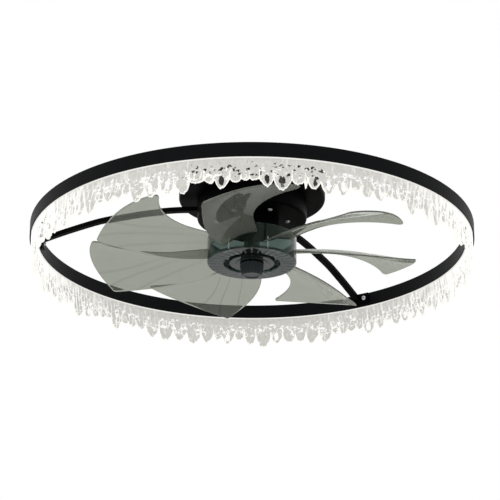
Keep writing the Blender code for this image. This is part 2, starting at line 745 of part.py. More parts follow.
stator_under = stator_middle - STATOR_HEIGHT / 2
stator_top = stator_middle + STATOR_HEIGHT / 2
stator_stack = prism(stator_outline(), stator_under, stator_top)
stator = add_piece("stator_core", stator_stack, lamination, fixed)
stator_bore_rod = rod(stator_bore, stator_top + OVERRUN, stator_under - OVERRUN, MEDIUM_STEPS)
cut(stator, "stator_bore_cutter", stator_bore_rod)

coil_half_width = TOOTH_WIDTH / 2 + GAP
coil_half_height = STATOR_HEIGHT / 2 + GAP
coil_outer = (coil_half_width + COIL_THICKNESS, coil_half_height + COIL_THICKNESS)
coil_start = yoke_radius + GAP
coil_end = math.sqrt((stator_radius - TOOTH_SHOE) ** 2 - coil_outer[0] ** 2) - GAP


def coil():
    """A square loop of winding round one tooth, its four sides joined end to end."""
    loops = []
    for half_y, half_z in (coil_outer, (coil_half_width, coil_half_height)):
        loops += [(-half_y, -half_z), (half_y, -half_z), (half_y, half_z), (-half_y, half_z)]
    points = [(x, y, stator_middle + z) for x in (coil_start, coil_end) for y, z in loops]
    faces = []
    for corner in range(4):
        after = (corner + 1) % 4
        faces.append((corner, 8 + corner, 8 + after, after)[::-1])
        faces.append((4 + corner, 12 + corner, 12 + after, 4 + after))
        faces.append((corner, 4 + corner, 4 + after, after))
        faces.append((8 + corner, 12 + corner, 12 + after, 8 + after)[::-1])
    return points, [face[::-1] for face in faces]


link_middle = stator_middle + coil_half_height + COIL_THICKNESS / 2
link_inner = coil_start + COIL_LINK_WIDTH / 2
link_profile = [
    (link_inner + COIL_LINK_WIDTH, link_middle + COIL_LINK_HEIGHT / 2),
    (link_inner + COIL_LINK_WIDTH, link_middle - COIL_LINK_HEIGHT / 2),
    (link_inner, link_middle - COIL_LINK_HEIGHT / 2),
    (link_inner, link_middle + COIL_LINK_HEIGHT / 2),
]
winding = add_piece("stator_winding", turned(link_profile, MEDIUM_STEPS), copper, fixed)
unite(winding, "coil_loops", around(coil(), TOOTH_COUNT))

bell_profile = [
    (BELL_RADIUS, bell_top),
    (BELL_RADIUS, bell_under + BELL_WALL),
    (BELL_RADIUS - BELL_WALL, bell_under),
    (SHAFT_RADIUS + GAP, bell_under),
    (SHAFT_RADIUS + GAP, bell_floor_top),
    (BELL_RADIUS - BELL_WALL, bell_floor_top),
    (BELL_RADIUS - BELL_WALL, bell_top),
]
add_piece("rotor_bell", turned(bell_profile, ROUND_STEPS), black_steel, fan_axis)
magnet_under = bell_floor_top + GAP
magnet_profile = [
    (magnet_outer, magnet_under + MAGNET_HEIGHT),
    (magnet_outer, magnet_under),
    (magnet_inner, magnet_under),
    (magnet_inner, magnet_under + MAGNET_HEIGHT),
]
add_piece("magnet_ring", turned(magnet_profile, MEDIUM_STEPS), ferrite, fan_axis)


# Blade hub: cup, boss and ribs, with a ring groove and a root slot for each blade
hub_top = -RING_DROP
hub_under = hub_top - HUB_DEPTH
hub_floor = hub_under + HUB_PLATE
boss_top = bell_under - GAP
flange_face = hub_under - BOSS_FLANGE_THICKNESS
shaft_hole = SHAFT_RADIUS + GAP
groove_top = hub_under + GROOVE_DEPTH
hub_profile = [
    (HUB_RADIUS, hub_top),
    (HUB_RADIUS, hub_under + HUB_WALL / 2),
    (HUB_RADIUS - HUB_WALL / 2, hub_under),
    (BOSS_FLANGE_RADIUS, hub_under),
    (BOSS_FLANGE_RADIUS, flange_face),
    (shaft_hole, flange_face),
    (shaft_hole, boss_top),
    (BOSS_RADIUS, boss_top),
    (BOSS_RADIUS, hub_floor),
    (GROOVE_INNER_RADIUS - HUB_WALL, hub_floor),
    (GROOVE_INNER_RADIUS - HUB_WALL, groove_top + HUB_PLATE),
    (GROOVE_OUTER_RADIUS + HUB_WALL, groove_top + HUB_PLATE),
    (GROOVE_OUTER_RADIUS + HUB_WALL, hub_floor),
    (HUB_RADIUS - HUB_WALL, hub_floor),
    (HUB_RADIUS - HUB_WALL, hub_top),
]
hub = add_piece("blade_hub", turned(hub_profile, ROUND_STEPS), clear_smoke, fan_axis)
rib_end = HUB_RADIUS - HUB_WALL - RIB_EDGE_CLEARANCE
rib_start = (shaft_hole + BOSS_RADIUS) / 2
rib_foot = (hub_floor + hub_under) / 2
rib_side = [
    (rib_start, rib_foot),
    (rib_end, rib_foot),
    (rib_end, hub_floor),
    (rib_start, hub_floor + RIB_HEIGHT),
]
rib = moved(prism(rib_side, -RIB_THICKNESS / 2, RIB_THICKNESS / 2), Matrix.Rotation(math.pi / 2, 4, "X"))
unite(hub, "hub_ribs", around(rib, BLADE_COUNT))
groove_profile = [
    (GROOVE_OUTER_RADIUS, groove_top),
    (GROOVE_OUTER_RADIUS, hub_under - OVERRUN),
    (GROOVE_INNER_RADIUS, hub_under - OVERRUN),
    (GROOVE_INNER_RADIUS, groove_top),
]
cut(hub, "hub_groove_cutter", turned(groove_profile, ROUND_STEPS))


# Blades
def blade_surface(along, across):
    """Middle surface of one blade. Along is 0 at the root and 1 at the tip, and below 0 it runs straight in.
    Across is 0 at the low edge and 1 at the high edge."""
    reach = np.maximum(along, 0.0)
    low_turn = LOW_EDGE_ROOT_DEGREES + (LOW_EDGE_TIP_DEGREES - LOW_EDGE_ROOT_DEGREES) * (
        1 - (1 - reach) ** LOW_EDGE_POWER
    )
    to_waist = np.maximum(1 - reach / WAIST_SHARE, 0.0)
    past_waist = np.maximum((reach - WAIST_SHARE) / (1 - WAIST_SHARE), 0.0)
    high_turn = (
        HIGH_EDGE_WAIST_DEGREES
        + (HIGH_EDGE_ROOT_DEGREES - HIGH_EDGE_WAIST_DEGREES) * to_waist**2
        + (HIGH_EDGE_TIP_DEGREES - HIGH_EDGE_WAIST_DEGREES) * past_waist**HIGH_EDGE_POWER
    )
    root = HUB_RADIUS + GAP
    tip = BLADE_REACH + TIP_SWELL * across - TIP_SETBACK * across**3
    radius = root + along * (tip - root)
    turn = np.radians(low_turn + (high_turn - low_turn) * across)
    low_z = LOW_EDGE_ROOT_RISE * (1 - reach) ** 3 - LOW_EDGE_DROP
    high_z = -HIGH_EDGE_DROP - HIGH_EDGE_ROOT_FALL * (1 - reach) ** 4
    rise = 1 - (1 - across) ** CAMBER_POWER
    zigzag = np.abs(across * PLEAT_COUNT % 1 * 2 - 1) - 0.5
    pleat = PLEAT_DEPTH * np.minimum(reach / WAIST_SHARE, 1.0) * zigzag
    z = hub_top + low_z + (high_z - low_z) * rise + pleat
    return np.stack([radius * np.cos(turn), radius * np.sin(turn), z], -1)


def blade_part(along, across, half_thickness, filled):
    middle = blade_surface(*np.meshgrid(along, across, indexing="ij"))
    lift = np.array([0.0, 0.0, half_thickness])
    return sheet_solid(middle + lift, middle - lift, filled)


tab_along = -ROOT_TAB_LENGTH / (BLADE_REACH - HUB_RADIUS)
along_stations = np.concatenate([[tab_along], np.linspace(0.0, 1.0, BLADE_ALONG_STEPS + 1)])
even_stations = np.linspace(0.0, 1.0, BLADE_ACROSS_STEPS + 1)
across_stations = np.unique(np.concatenate([even_stations, ROOT_TAB_SHARES]))
kept = np.ones((len(along_stations) - 1, len(across_stations) - 1), bool)
middle_of_cell = (across_stations[1:] + across_stations[:-1]) / 2
kept[0] = (middle_of_cell > ROOT_TAB_SHARES[0]) & (middle_of_cell < ROOT_TAB_SHARES[1])
first_blade = add_piece(
    "blade_1", blade_part(along_stations, across_stations, BLADE_THICKNESS / 2, kept), smoke, fan_axis
)
for number in range(1, BLADE_COUNT):
    add_copy(f"blade_{number + 1}", first_blade, 360.0 / BLADE_COUNT * number)

slot_clearance_share = GAP / (HUB_RADIUS * math.radians(HIGH_EDGE_ROOT_DEGREES - LOW_EDGE_ROOT_DEGREES))
slot_inside = -(HUB_WALL + GAP + OVERRUN) / (BLADE_REACH - HUB_RADIUS)
slot_across = np.linspace(
    ROOT_TAB_SHARES[0] - slot_clearance_share, ROOT_TAB_SHARES[1] + slot_clearance_share, BLADE_ACROSS_STEPS
)
slot_shape = blade_part(
    np.array([slot_inside, -slot_inside]),
    slot_across,
    BLADE_THICKNESS / 2 + GAP,
    np.ones((1, len(slot_across) - 1), bool),
)
cut(hub, "hub_slot_cutter", around(slot_shape, BLADE_COUNT))


# Shaft and locking knob
knob_top = flange_face - GAP
knob_end = knob_top - KNOB_LENGTH
shaft_end = knob_end + KNOB_CAP + GAP
collar_top = lower_bearing_z - BEARING_HEIGHT / 2 - GAP
collar_under = bell_floor_top + GAP
shaft_profile = [
    (0, carrier_top),
    (SHAFT_RADIUS, carrier_top),
    (SHAFT_RADIUS, collar_top),
    (SHAFT_COLLAR_RADIUS, collar_top),
    (SHAFT_COLLAR_RADIUS, collar_under),
    (SHAFT_RADIUS, collar_under),
    (SHAFT_RADIUS, shaft_end),
    (0, shaft_end),
]
add_piece("shaft", turned(shaft_profile, SMALL_STEPS), bright_steel, fan_axis)


def lock_knob():
    """A tapered nut: radii alternate between flute and crest, and a blind bore takes the shaft's end."""
    steps = 2 * KNOB_FLUTES
    heights = (knob_top, knob_top - KNOB_RIM, knob_end + KNOB_RIM, knob_end)
    radii = (KNOB_TOP_RADIUS - KNOB_RIM, KNOB_TOP_RADIUS, KNOB_END_RADIUS, KNOB_END_RADIUS - KNOB_RIM)
    depths = (0.0, KNOB_FLUTE_DEPTH, KNOB_FLUTE_DEPTH, 0.0)
    bore_end = knob_end + KNOB_CAP
    points, faces = [], []
    rows = len(heights) + 2
    for step in range(steps):
        turn = 2 * math.pi * step / steps
        section = [(r - d * (step % 2), z) for r, d, z in zip(radii, depths, heights)]
        section = [(shaft_hole, bore_end), (shaft_hole, knob_top), *section]
        points += [(r * math.cos(turn), r * math.sin(turn), z) for r, z in section]
        here, there = step * rows, (step + 1) % steps * rows
        for row in range(rows - 1):
            faces.append((here + row, here + row + 1, there + row + 1, there + row))
        faces.append((steps * rows, here, there))
        faces.append((steps * rows + 1, there + rows - 1, here + rows - 1))
    points += [(0.0, 0.0, bore_end), (0.0, 0.0, knob_end)]
    return points, faces


add_piece("lock_knob", lock_knob(), knob_plastic, fan_axis)


# Driver tray with its board, and the supply terminal block, all under the bracket
driver_top = -BRACKET_THICKNESS - GAP
driver_low = (-DRIVER_REACH - DRIVER_LENGTH / 2, -DRIVER_WIDTH / 2, driver_top - DRIVER_DEPTH)
driver_high = (-DRIVER_REACH + DRIVER_LENGTH / 2, DRIVER_WIDTH / 2, driver_top)
driver = add_piece("driver_case", box(driver_low, driver_high), white_plastic, fixed)
bay_low = tuple(side + DRIVER_WALL for side in driver_low)
bay_high = (driver_high[0] - DRIVER_WALL, driver_high[1] - DRIVER_WALL, driver_high[2] + OVERRUN)
cut(driver, "driver_bay_cutter", box(bay_low, bay_high))

board_low = tuple(side + GAP for side in bay_low)
board_high = (bay_high[0] - GAP, bay_high[1] - GAP, board_low[2] + BOARD_THICKNESS)
board = add_piece("control_board", box(board_low, board_high), board_green, fixed)
board_parts = []
length = board_high[0] - board_low[0]
width = board_high[1] - board_low[1]
room = driver_top - board_high[2]
sunk = board_high[2] - BOARD_THICKNESS / 2
for x_from, x_to, y_from, y_to, height_share in BOARD_PART_SHARES:
    part_low = (board_low[0] + length * x_from, board_low[1] + width * y_from, sunk)
    part_top = board_high[2] + room * height_share
    part_high = (board_low[0] + length * x_to, board_low[1] + width * y_to, part_top)
    board_parts.append(box(part_low, part_high))
unite(board, "board_parts", joined(board_parts))

terminal_low = (TERMINAL_REACH - TERMINAL_LENGTH / 2, -TERMINAL_WIDTH / 2, driver_top - TERMINAL_DEPTH)
terminal_high = (TERMINAL_REACH + TERMINAL_LENGTH / 2, TERMINAL_WIDTH / 2, driver_top)
terminal = add_piece("terminal_block", box(terminal_low, terminal_high), white_plastic, fixed)
way = TERMINAL_WIDTH / TERMINAL_WAYS
way_rod = rod(TERMINAL_HOLE_RADIUS, OVERRUN - terminal_low[0], -terminal_high[0] - OVERRUN, SCREW_STEPS)
way_hole = along_x(way_rod, TERMINAL_DEPTH / 2 - driver_top)
way_places = [way * (number - (TERMINAL_WAYS - 1) / 2) for number in range(TERMINAL_WAYS)]
way_holes = joined([moved(way_hole, Matrix.Translation((0.0, y, 0.0))) for y in way_places])
cut(terminal, "terminal_hole_cutter", way_holes)
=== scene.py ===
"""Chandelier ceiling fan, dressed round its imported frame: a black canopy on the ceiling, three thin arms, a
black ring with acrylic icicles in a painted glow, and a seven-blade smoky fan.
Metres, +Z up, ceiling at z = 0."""

import bmesh
import bpy
import numpy as np
from mathutils import Matrix, Vector


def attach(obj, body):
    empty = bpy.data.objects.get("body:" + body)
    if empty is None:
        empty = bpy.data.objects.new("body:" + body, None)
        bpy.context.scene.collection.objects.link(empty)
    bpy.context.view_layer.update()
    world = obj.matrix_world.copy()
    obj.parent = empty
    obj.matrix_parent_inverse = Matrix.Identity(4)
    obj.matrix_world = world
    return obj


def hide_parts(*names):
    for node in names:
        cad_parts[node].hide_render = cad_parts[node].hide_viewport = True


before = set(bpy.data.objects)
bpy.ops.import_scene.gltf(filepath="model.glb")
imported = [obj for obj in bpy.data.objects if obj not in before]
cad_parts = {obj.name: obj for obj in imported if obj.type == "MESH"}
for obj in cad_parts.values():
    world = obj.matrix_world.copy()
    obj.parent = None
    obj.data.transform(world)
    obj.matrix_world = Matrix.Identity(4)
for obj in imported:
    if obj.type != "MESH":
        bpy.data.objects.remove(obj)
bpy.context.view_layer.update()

# The room for the picture: a pale floor far below the fan, a white surround, and soft lamps. The surround
# is white to the eye, in gloss and through clear plastic, and a little dimmer as light on the pieces.
CAMERA_PLACE = (0.0, -2.4858, -1.0687)
CAMERA_PITCH = np.radians(90.0 + 21.52)
CAMERA_YAW = np.radians(0.05)
CAMERA_ROLL = np.radians(0.167)
CAMERA_LENS_MM = 170.72
FLOOR_DEPTH = 3.40
FLOOR_HALF = 26.0
SURROUND_LEVEL = 0.80
FLOOR_LIFT = 0.52
LAMP_AIM = (0.0, 0.0, -0.08)


def paint(hex_colour):
    """An sRGB hex colour as linear red, green, blue and a full alpha."""
    shares = np.array([int(hex_colour[at : at + 2], 16) for at in (1, 3, 5)]) / 255.0
    light = np.where(shares <= 0.04045, shares / 12.92, ((shares + 0.055) / 1.055) ** 2.4)
    return (*light.tolist(), 1.0)


def add_node(tree, kind, inputs=(), tones=(), **settings):
    """One shader node with its settings. Each input is (socket, value), the value a number, a colour, a
    node's output, or a node for its first output. Tones are a colour ramp's hex colours, low end first."""
    made = tree.nodes.new("ShaderNode" + kind)
    for name, value in settings.items():
        setattr(made, name, value)
    for number, tone in enumerate(tones):
        made.color_ramp.elements[number].color = paint(tone)
    for socket, value in dict(inputs).items():
        if isinstance(value, bpy.types.Node):
            value = value.outputs[0]
        if isinstance(value, bpy.types.NodeSocket):
            tree.links.new(value, made.inputs[socket])
        else:
            made.inputs[socket].default_value = value
    return made


def new_material(name):
    """A node material, its tree, and the place on the piece, as Object coordinates."""
    made = bpy.data.materials.new(name)
    made.use_nodes = True
    made.node_tree.nodes.clear()
    return made, made.node_tree, add_node(made.node_tree, "TexCoord").outputs["Object"]


def seen_rays(tree):
    """1 on a ray that brings the background to the eye: straight, off gloss or through clear plastic."""
    ray = add_node(tree, "LightPath")
    seen = ray.outputs["Is Camera Ray"]
    for kind in ("Is Glossy Ray", "Is Transmission Ray"):
        seen = add_node(tree, "Math", {0: seen, 1: ray.outputs[kind]}, operation="MAXIMUM")
    return seen


lens = bpy.data.cameras.new("photo_camera")
lens.lens = CAMERA_LENS_MM
lens.sensor_width = 36.0
lens.clip_start, lens.clip_end = 0.1, 60.0
camera = bpy.data.objects.new("photo_camera", lens)
camera.matrix_world = Matrix.Translation(CAMERA_PLACE) @ (
    Matrix.Rotation(CAMERA_YAW, 4, "Z")
    @ Matrix.Rotation(CAMERA_PITCH, 4, "X")
    @ Matrix.Rotation(CAMERA_ROLL, 4, "Z")
)
bpy.context.scene.collection.objects.link(camera)
bpy.context.scene.camera = camera
bpy.context.scene.view_settings.view_transform = "Standard"

surround = bpy.data.worlds.new("white_surround")
surround.use_nodes = True
tree = surround.node_tree
tree.nodes.clear()
level = add_node(tree, "MapRange", {"Value": seen_rays(tree), "To Min": SURROUND_LEVEL, "To Max": 1.0})
sky = add_node(tree, "Background", {"Color": paint("#ffffff"), "Strength": level})
add_node(tree, "OutputWorld", {"Surface": sky})
bpy.context.scene.world = surround

floor_mesh = bpy.data.meshes.new("floor")
corner_signs = np.array([(-1, -1), (1, -1), (1, 1), (-1, 1)])
floor_points = np.column_stack([corner_signs * FLOOR_HALF, np.full(4, -FLOOR_DEPTH)])
floor_mesh.from_pydata(floor_points.tolist(), [], [(0, 1, 2, 3)])
white_floor, tree, place = new_material("pale_matt_floor")
matt = add_node(tree, "BsdfDiffuse", {"Color": paint("#b4b4b4")})
lift = add_node(tree, "Emission", {"Color": paint("#ffffff"), "Strength": FLOOR_LIFT})
seen_lift = add_node(tree, "MixShader", {0: seen_rays(tree), 2: lift})
both = add_node(tree, "AddShader", {0: matt, 1: seen_lift})
add_node(tree, "OutputMaterial", {"Surface": both})
floor_mesh.materials.append(white_floor)
floor = bpy.data.objects.new("floor", floor_mesh)
bpy.context.scene.collection.objects.link(floor)

for name, place, size, watts in (
    ("lamp_below_left", (-1.5, -1.7, -1.35), 1.2, 9.0),
    ("lamp_below_right", (1.7, -1.2, -1.2), 1.2, 6.0),
    ("lamp_far", (0.3, 2.4, -0.9), 1.4, 7.0),
    ("lamp_above", (-0.6, -0.8, 1.6), 1.6, 12.0),
):
    glow = bpy.data.lights.new(name, "AREA")
    glow.size = size
    glow.energy = watts
    lamp = bpy.data.objects.new(name, glow)
    aim = Vector(place) - Vector(LAMP_AIM)
    lamp.matrix_world = Matrix.Translation(place) @ aim.to_track_quat("Z", "Y").to_matrix().to_4x4()
    lamp.visible_glossy = lamp.visible_transmission = False
    bpy.context.scene.collection.objects.link(lamp)


# Mounting bracket: a zinc-plated steel strip on the ceiling with bent ends. The driver tray, its board and
# the supply terminal block, in white moulded nylon, sit under it. All of it hides inside the canopy.


def finish_cad(node, material):
    """A CAD node keeps its shape and gets this material."""
    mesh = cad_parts[node].data
    mesh.materials.clear()
    mesh.materials.append(material)


zinc, tree, place = new_material("zinc_plated_steel")
# Zinc plate: pale bright grey with a faint mottle of crystals 1 mm across and a soft gloss.
spangle = add_node(tree, "TexVoronoi", {"Vector": place, "Scale": 900.0})
tint = add_node(tree, "ValToRGB", {0: spangle}, ("#b9bcc0", "#dcdee0"))
gloss = add_node(tree, "MapRange", {"Value": spangle, "To Min": 0.26, "To Max": 0.42})
shader = add_node(tree, "BsdfPrincipled", {"Base Color": tint, "Metallic": 1.0, "Roughness": gloss})
add_node(tree, "OutputMaterial", {"Surface": shader})
hidden_screws = [f"{fixing}_screw_{n}" for fixing in ("arm_foot", "motor") for n in (1, 2, 3)]
for node in ["mounting_bracket"] + hidden_screws:
    finish_cad(node, zinc)

nylon, tree, place = new_material("white_moulded_nylon")
# Moulded nylon: a warm white with a fine dull grain from the mould.
grain = add_node(tree, "TexNoise", {"Vector": place, "Scale": 1400.0, "Detail": 3.0})
tint = add_node(tree, "ValToRGB", {0: grain}, ("#d6d4cc", "#eeece6"))
skin = add_node(tree, "Bump", {"Height": grain, "Strength": 0.2, "Distance": 0.0002})
shader = add_node(tree, "BsdfPrincipled", {"Base Color": tint, "Roughness": 0.5, "Normal": skin})
add_node(tree, "OutputMaterial", {"Surface": shader})
finish_cad("driver_case", nylon)
finish_cad("terminal_block", nylon)

board_green, tree, place = new_material("glass_fibre_board")
# Glass-fibre board under green lacquer: paler and darker threads 0.8 mm apart.
weave = add_node(tree, "TexWave", {"Vector": place, "Scale": 400.0, "Distortion": 1.0})
tint = add_node(tree, "ValToRGB", {0: weave}, ("#1c5a34", "#2a7446"))
shader = add_node(tree, "BsdfPrincipled", {"Base Color": tint, "Roughness": 0.35})
add_node(tree, "OutputMaterial", {"Surface": shader})
finish_cad("control_board", board_green)


# Canopy: a spun steel pan, stove-enamelled satin black, with an upright wall, a rounded edge and a flat
# floor. Two side screws hold it to the bracket's tabs.
CANOPY_RADIUS = 0.083
CANOPY_TOP = -0.0005
CANOPY_UNDER = -0.0294
CANOPY_WALL = 0.0012
FLOOR_HOLE_RADIUS = 0.034
SIDE_SCREW_DEPTH = 0.008


def rounded(corners, radius, steps=4):
    """An outline with its corners eased: a Bezier arc from one radius before each corner to one after,
    with one more point on each side to hold the flats flat."""
    corners = np.asarray(corners, float)
    reach = np.broadcast_to(radius, len(corners))[:, None, None]
    before = np.roll(corners, 1, 0) - corners
    after = np.roll(corners, -1, 0) - corners
    before = (before / np.linalg.norm(before, axis=1)[:, None])[:, None] * reach
    after = (after / np.linalg.norm(after, axis=1)[:, None])[:, None] * reach
    share = np.linspace(0.0, 1.0, steps + 1)[None, :, None]
    arc = corners[:, None] + (1 - share) ** 2 * before + share**2 * after
    lead, tail = corners[:, None] + 1.5 * before, corners[:, None] + 1.5 * after
    return np.concatenate([lead, arc, tail], 1).reshape(-1, 2)


def can_section(radius, hole, top, under, wall, floor):
    """The (radius, z) corners of a round can, open at the top, with a hole in its floor: down the outside,
    in to the hole, and back over the floor and up the wall."""
    inside, floor_top = radius - wall, under + floor
    outer = [(radius, top), (radius, under), (hole, under)]
    return outer + [(hole, floor_top), (inside, floor_top), (inside, top)]


def turned(profile, steps):
    """A closed (radius, z) profile carried round Z in even steps, or through the given angles:
    point = (r cos a, r sin a, z), as rows by turns."""
    turns = np.arange(steps) * 2 * np.pi / steps if np.isscalar(steps) else steps
    radius, z = np.asarray(profile).T[:, :, None]
    return np.stack([radius * np.cos(turns), radius * np.sin(turns), z + 0 * turns], -1)


def spun(points, degrees):
    """Points turned about Z by an angle, or by each of several angles at once."""
    turns = np.radians(degrees)[..., None]
    shape = (*np.shape(degrees), *points.shape)
    flat = points.reshape(-1, 3)
    x = flat[:, 0] * np.cos(turns) - flat[:, 1] * np.sin(turns)
    y = flat[:, 0] * np.sin(turns) + flat[:, 1] * np.cos(turns)
    return np.stack([x, y, flat[:, 2] + 0 * turns], -1).reshape(shape)


def woven(grid, wrap_rows=True):
    """The quads of one or more grids of points, shaped (copies, rows, columns, 3)."""
    grid = grid.reshape(-1, *grid.shape[-3:])
    copies, rows, columns = grid.shape[:3]
    row = np.arange(rows if wrap_rows else rows - 1)[None, :, None]
    column = np.arange(columns)[None, None, :]
    start = np.arange(copies)[:, None, None] * rows * columns
    below, beside = (row + 1) % rows, (column + 1) % columns
    corners = ((row, column), (below, column), (below, beside), (row, beside))
    quads = np.stack([start + down * columns + right for down, right in corners], -1)
    return grid.reshape(-1, 3), quads.reshape(-1, 4)


def add_piece(name, shapes, material, body, node, marks=None, sharp=38.0):
    """A closed mesh from (points, quads) shapes. Doubled points at poles and ends are merged, and faces are
    turned outwards. Marks are numbers kept on the points, by name."""
    starts = np.cumsum([0] + [len(points) for points, quads in shapes])
    points = np.concatenate([points for points, quads in shapes])
    quads = np.concatenate([quads + start for (_, quads), start in zip(shapes, starts)])
    mesh = bpy.data.meshes.new(name)
    mesh.vertices.add(len(points))
    mesh.vertices.foreach_set("co", points.astype(np.float32).ravel())
    mesh.loops.add(quads.size)
    mesh.loops.foreach_set("vertex_index", quads.astype(np.int32).ravel())
    mesh.polygons.add(len(quads))
    mesh.polygons.foreach_set("loop_start", np.arange(0, quads.size, 4, dtype=np.int32))
    mesh.update(calc_edges=True)
    for mark, values in (marks or {}).items():
        kept = mesh.attributes.new(mark, "FLOAT", "POINT").data
        kept.foreach_set("value", np.asarray(values, np.float32).ravel())
    work = bmesh.new()
    work.from_mesh(mesh)
    bmesh.ops.remove_doubles(work, verts=work.verts, dist=1e-6)
    bmesh.ops.dissolve_degenerate(work, edges=work.edges, dist=1e-7)
    bmesh.ops.recalc_face_normals(work, faces=work.faces)
    if work.calc_volume(signed=True) < 0:
        bmesh.ops.reverse_faces(work, faces=work.faces)
    work.to_mesh(mesh)
    work.free()
    mesh.materials.append(material)
    mesh.shade_smooth()
    mesh.set_sharp_from_angle(angle=np.radians(sharp))
    piece = bpy.data.objects.new(name, mesh)
    bpy.context.scene.collection.objects.link(piece)
    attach(piece, body)
    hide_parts(node)


satin_black, tree, place = new_material("satin_black_enamel")
# Stove enamel on steel: near black, satin, with an even orange-peel skin about a millimetre across.
peel = add_node(tree, "TexNoise", {"Vector": place, "Scale": 900.0, "Detail": 2.0})
cloud = add_node(tree, "TexNoise", {"Vector": place, "Scale": 35.0, "Detail": 2.0})
tint = add_node(tree, "ValToRGB", {0: cloud}, ("#040404", "#080808"))
gloss = add_node(tree, "MapRange", {"Value": cloud, "To Min": 0.36, "To Max": 0.50})
skin = add_node(tree, "Bump", {"Height": peel, "Strength": 0.12, "Distance": 0.0001})
finish = {"Base Color": tint, "Roughness": gloss, "Specular IOR Level": 0.02, "Normal": skin}
shader = add_node(tree, "BsdfPrincipled", finish)
add_node(tree, "OutputMaterial", {"Surface": shader})

pan_corners = can_section(
    CANOPY_RADIUS, FLOOR_HOLE_RADIUS, CANOPY_TOP, CANOPY_UNDER, CANOPY_WALL, CANOPY_WALL
)
pan_easing = [0.0004, 0.0034, 0.0004, 0.0004, 0.0022, 0.0004]
pan = woven(turned(rounded(pan_corners, pan_easing, steps=8), 144))
add_piece("canopy_pan", [pan], satin_black, "ceiling_frame", "canopy_shell")


HEAD_HEIGHT, HEAD_RADIUS, HEAD_CLEAR = 0.0016, 0.0028, 0.0003
RECESS_DEPTH, RECESS_HALF_WIDTH, RECESS_REACH = 0.0010, 0.15, 0.6
SHANK_RADIUS, SHANK_START = 0.0017, 0.0004
SIDE_SCREW_LENGTH = 0.0064
OUT_ALONG_X = np.array([(0, 1, 0), (0, 0, 1), (1, 0, 0)])


def screw(length, twist, axes, seat, degrees):
    """A screw about Z that sits on z = 0, then has its X, Y and Z laid along the axes, is moved to its seat
    and turned round the fan. Its head is a button, z = height (1 - (r / radius)^4), with a cross recess of
    four arms, given in shares of the radius, and is twisted on its own pin. The shank is plain."""
    share = np.concatenate([[0.0], np.linspace(0.08, 0.62, 8), np.linspace(0.7, 1.0, 7)])[:, None]
    turns = np.arange(40)[None, :] * np.pi / 20
    x, y = share * np.cos(turns), share * np.sin(turns)
    recess = (np.minimum(abs(x), abs(y)) < RECESS_HALF_WIDTH) & (share < RECESS_REACH)
    z = HEAD_HEIGHT * (1 - share**4) - RECESS_DEPTH * recess * (1 - share / 0.75)
    top = np.stack([HEAD_RADIUS * x, HEAD_RADIUS * y, z], -1)
    rim = top[-1:] * (1, 1, 0)
    head = spun(np.concatenate([top, rim, 0 * rim]), twist) + (0.0, 0.0, HEAD_CLEAR)
    pin = [(0.0, SHANK_START), (SHANK_RADIUS, SHANK_START), (SHANK_RADIUS, -length), (0.0, -length)]
    shank = turned(rounded(pin, 0.0002), 16)
    head, shank = (spun(part @ axes + seat, degrees) for part in (head, shank))
    return [woven(head, wrap_rows=False), woven(shank)]


black_zinc, tree, place = new_material("black_zinc_screw")
# Black zinc on a steel screw: dark, smooth, a little glossier than the enamel.
cloud = add_node(tree, "TexNoise", {"Vector": place, "Scale": 500.0, "Detail": 2.0})
tint = add_node(tree, "ValToRGB", {0: cloud}, ("#131416", "#1f2123"))
shader = add_node(tree, "BsdfPrincipled", {"Base Color": tint, "Roughness": 0.28})
add_node(tree, "OutputMaterial", {"Surface": shader})
seat = (CANOPY_RADIUS, 0.0, -SIDE_SCREW_DEPTH)
for number, degrees in ((1, 0.0), (2, 180.0)):
    shapes = screw(SIDE_SCREW_LENGTH, 0.0, OUT_ALONG_X, seat, degrees)
    node = f"canopy_screw_{number}"
    add_piece(f"canopy_side_screw_{number}", shapes, black_zinc, "ceiling_frame", node)


# Canopy cap: a deep pressed steel can under the pan's floor, in the same enamel, with a notch in its rim
# for each arm. Six long bright screws on one circle hold it, and the motor hangs from its plate.
CAP_TOP = -0.0297
CAP_UNDER = -0.0532
CAP_RADIUS = 0.062
CAP_WALL = 0.002
CAP_HOLE = 0.0130
CAP_SCREW_CIRCLE = 0.0402
CAP_SCREW_LENGTH = 0.0280
NOTCH_FOOT = -0.0415
NOTCH_HALF_DEGREES = 3.97
ARM_DEGREES = (57.7, 177.7, 297.7)
cap_corners = can_section(CAP_RADIUS, CAP_HOLE, CAP_TOP, CAP_UNDER, CAP_WALL, CAP_WALL)
cap_easing = [0.0004, 0.0034, 0.0003, 0.0003, 0.0014, 0.0004]
notch_edges = [side * (NOTCH_HALF_DEGREES + out) for side in (-1, 1) for out in (0.0, 0.02)]
notch_sides = np.add.outer(ARM_DEGREES, notch_edges)
cap_degrees = np.union1d(np.arange(0.0, 360.0, 2.5), notch_sides)
cap_can = turned(rounded(cap_corners, cap_easing, steps=8), np.radians(cap_degrees))
in_notch = (abs(cap_degrees[:, None] - ARM_DEGREES) < NOTCH_HALF_DEGREES + 0.01).any(1)
cap_can[:, in_notch, 2] = np.minimum(cap_can[:, in_notch, 2], NOTCH_FOOT)
add_piece("canopy_lid", [woven(cap_can)], satin_black, "ceiling_frame", "canopy_cap")

bright_zinc, tree, place = new_material("bright_zinc_screw")
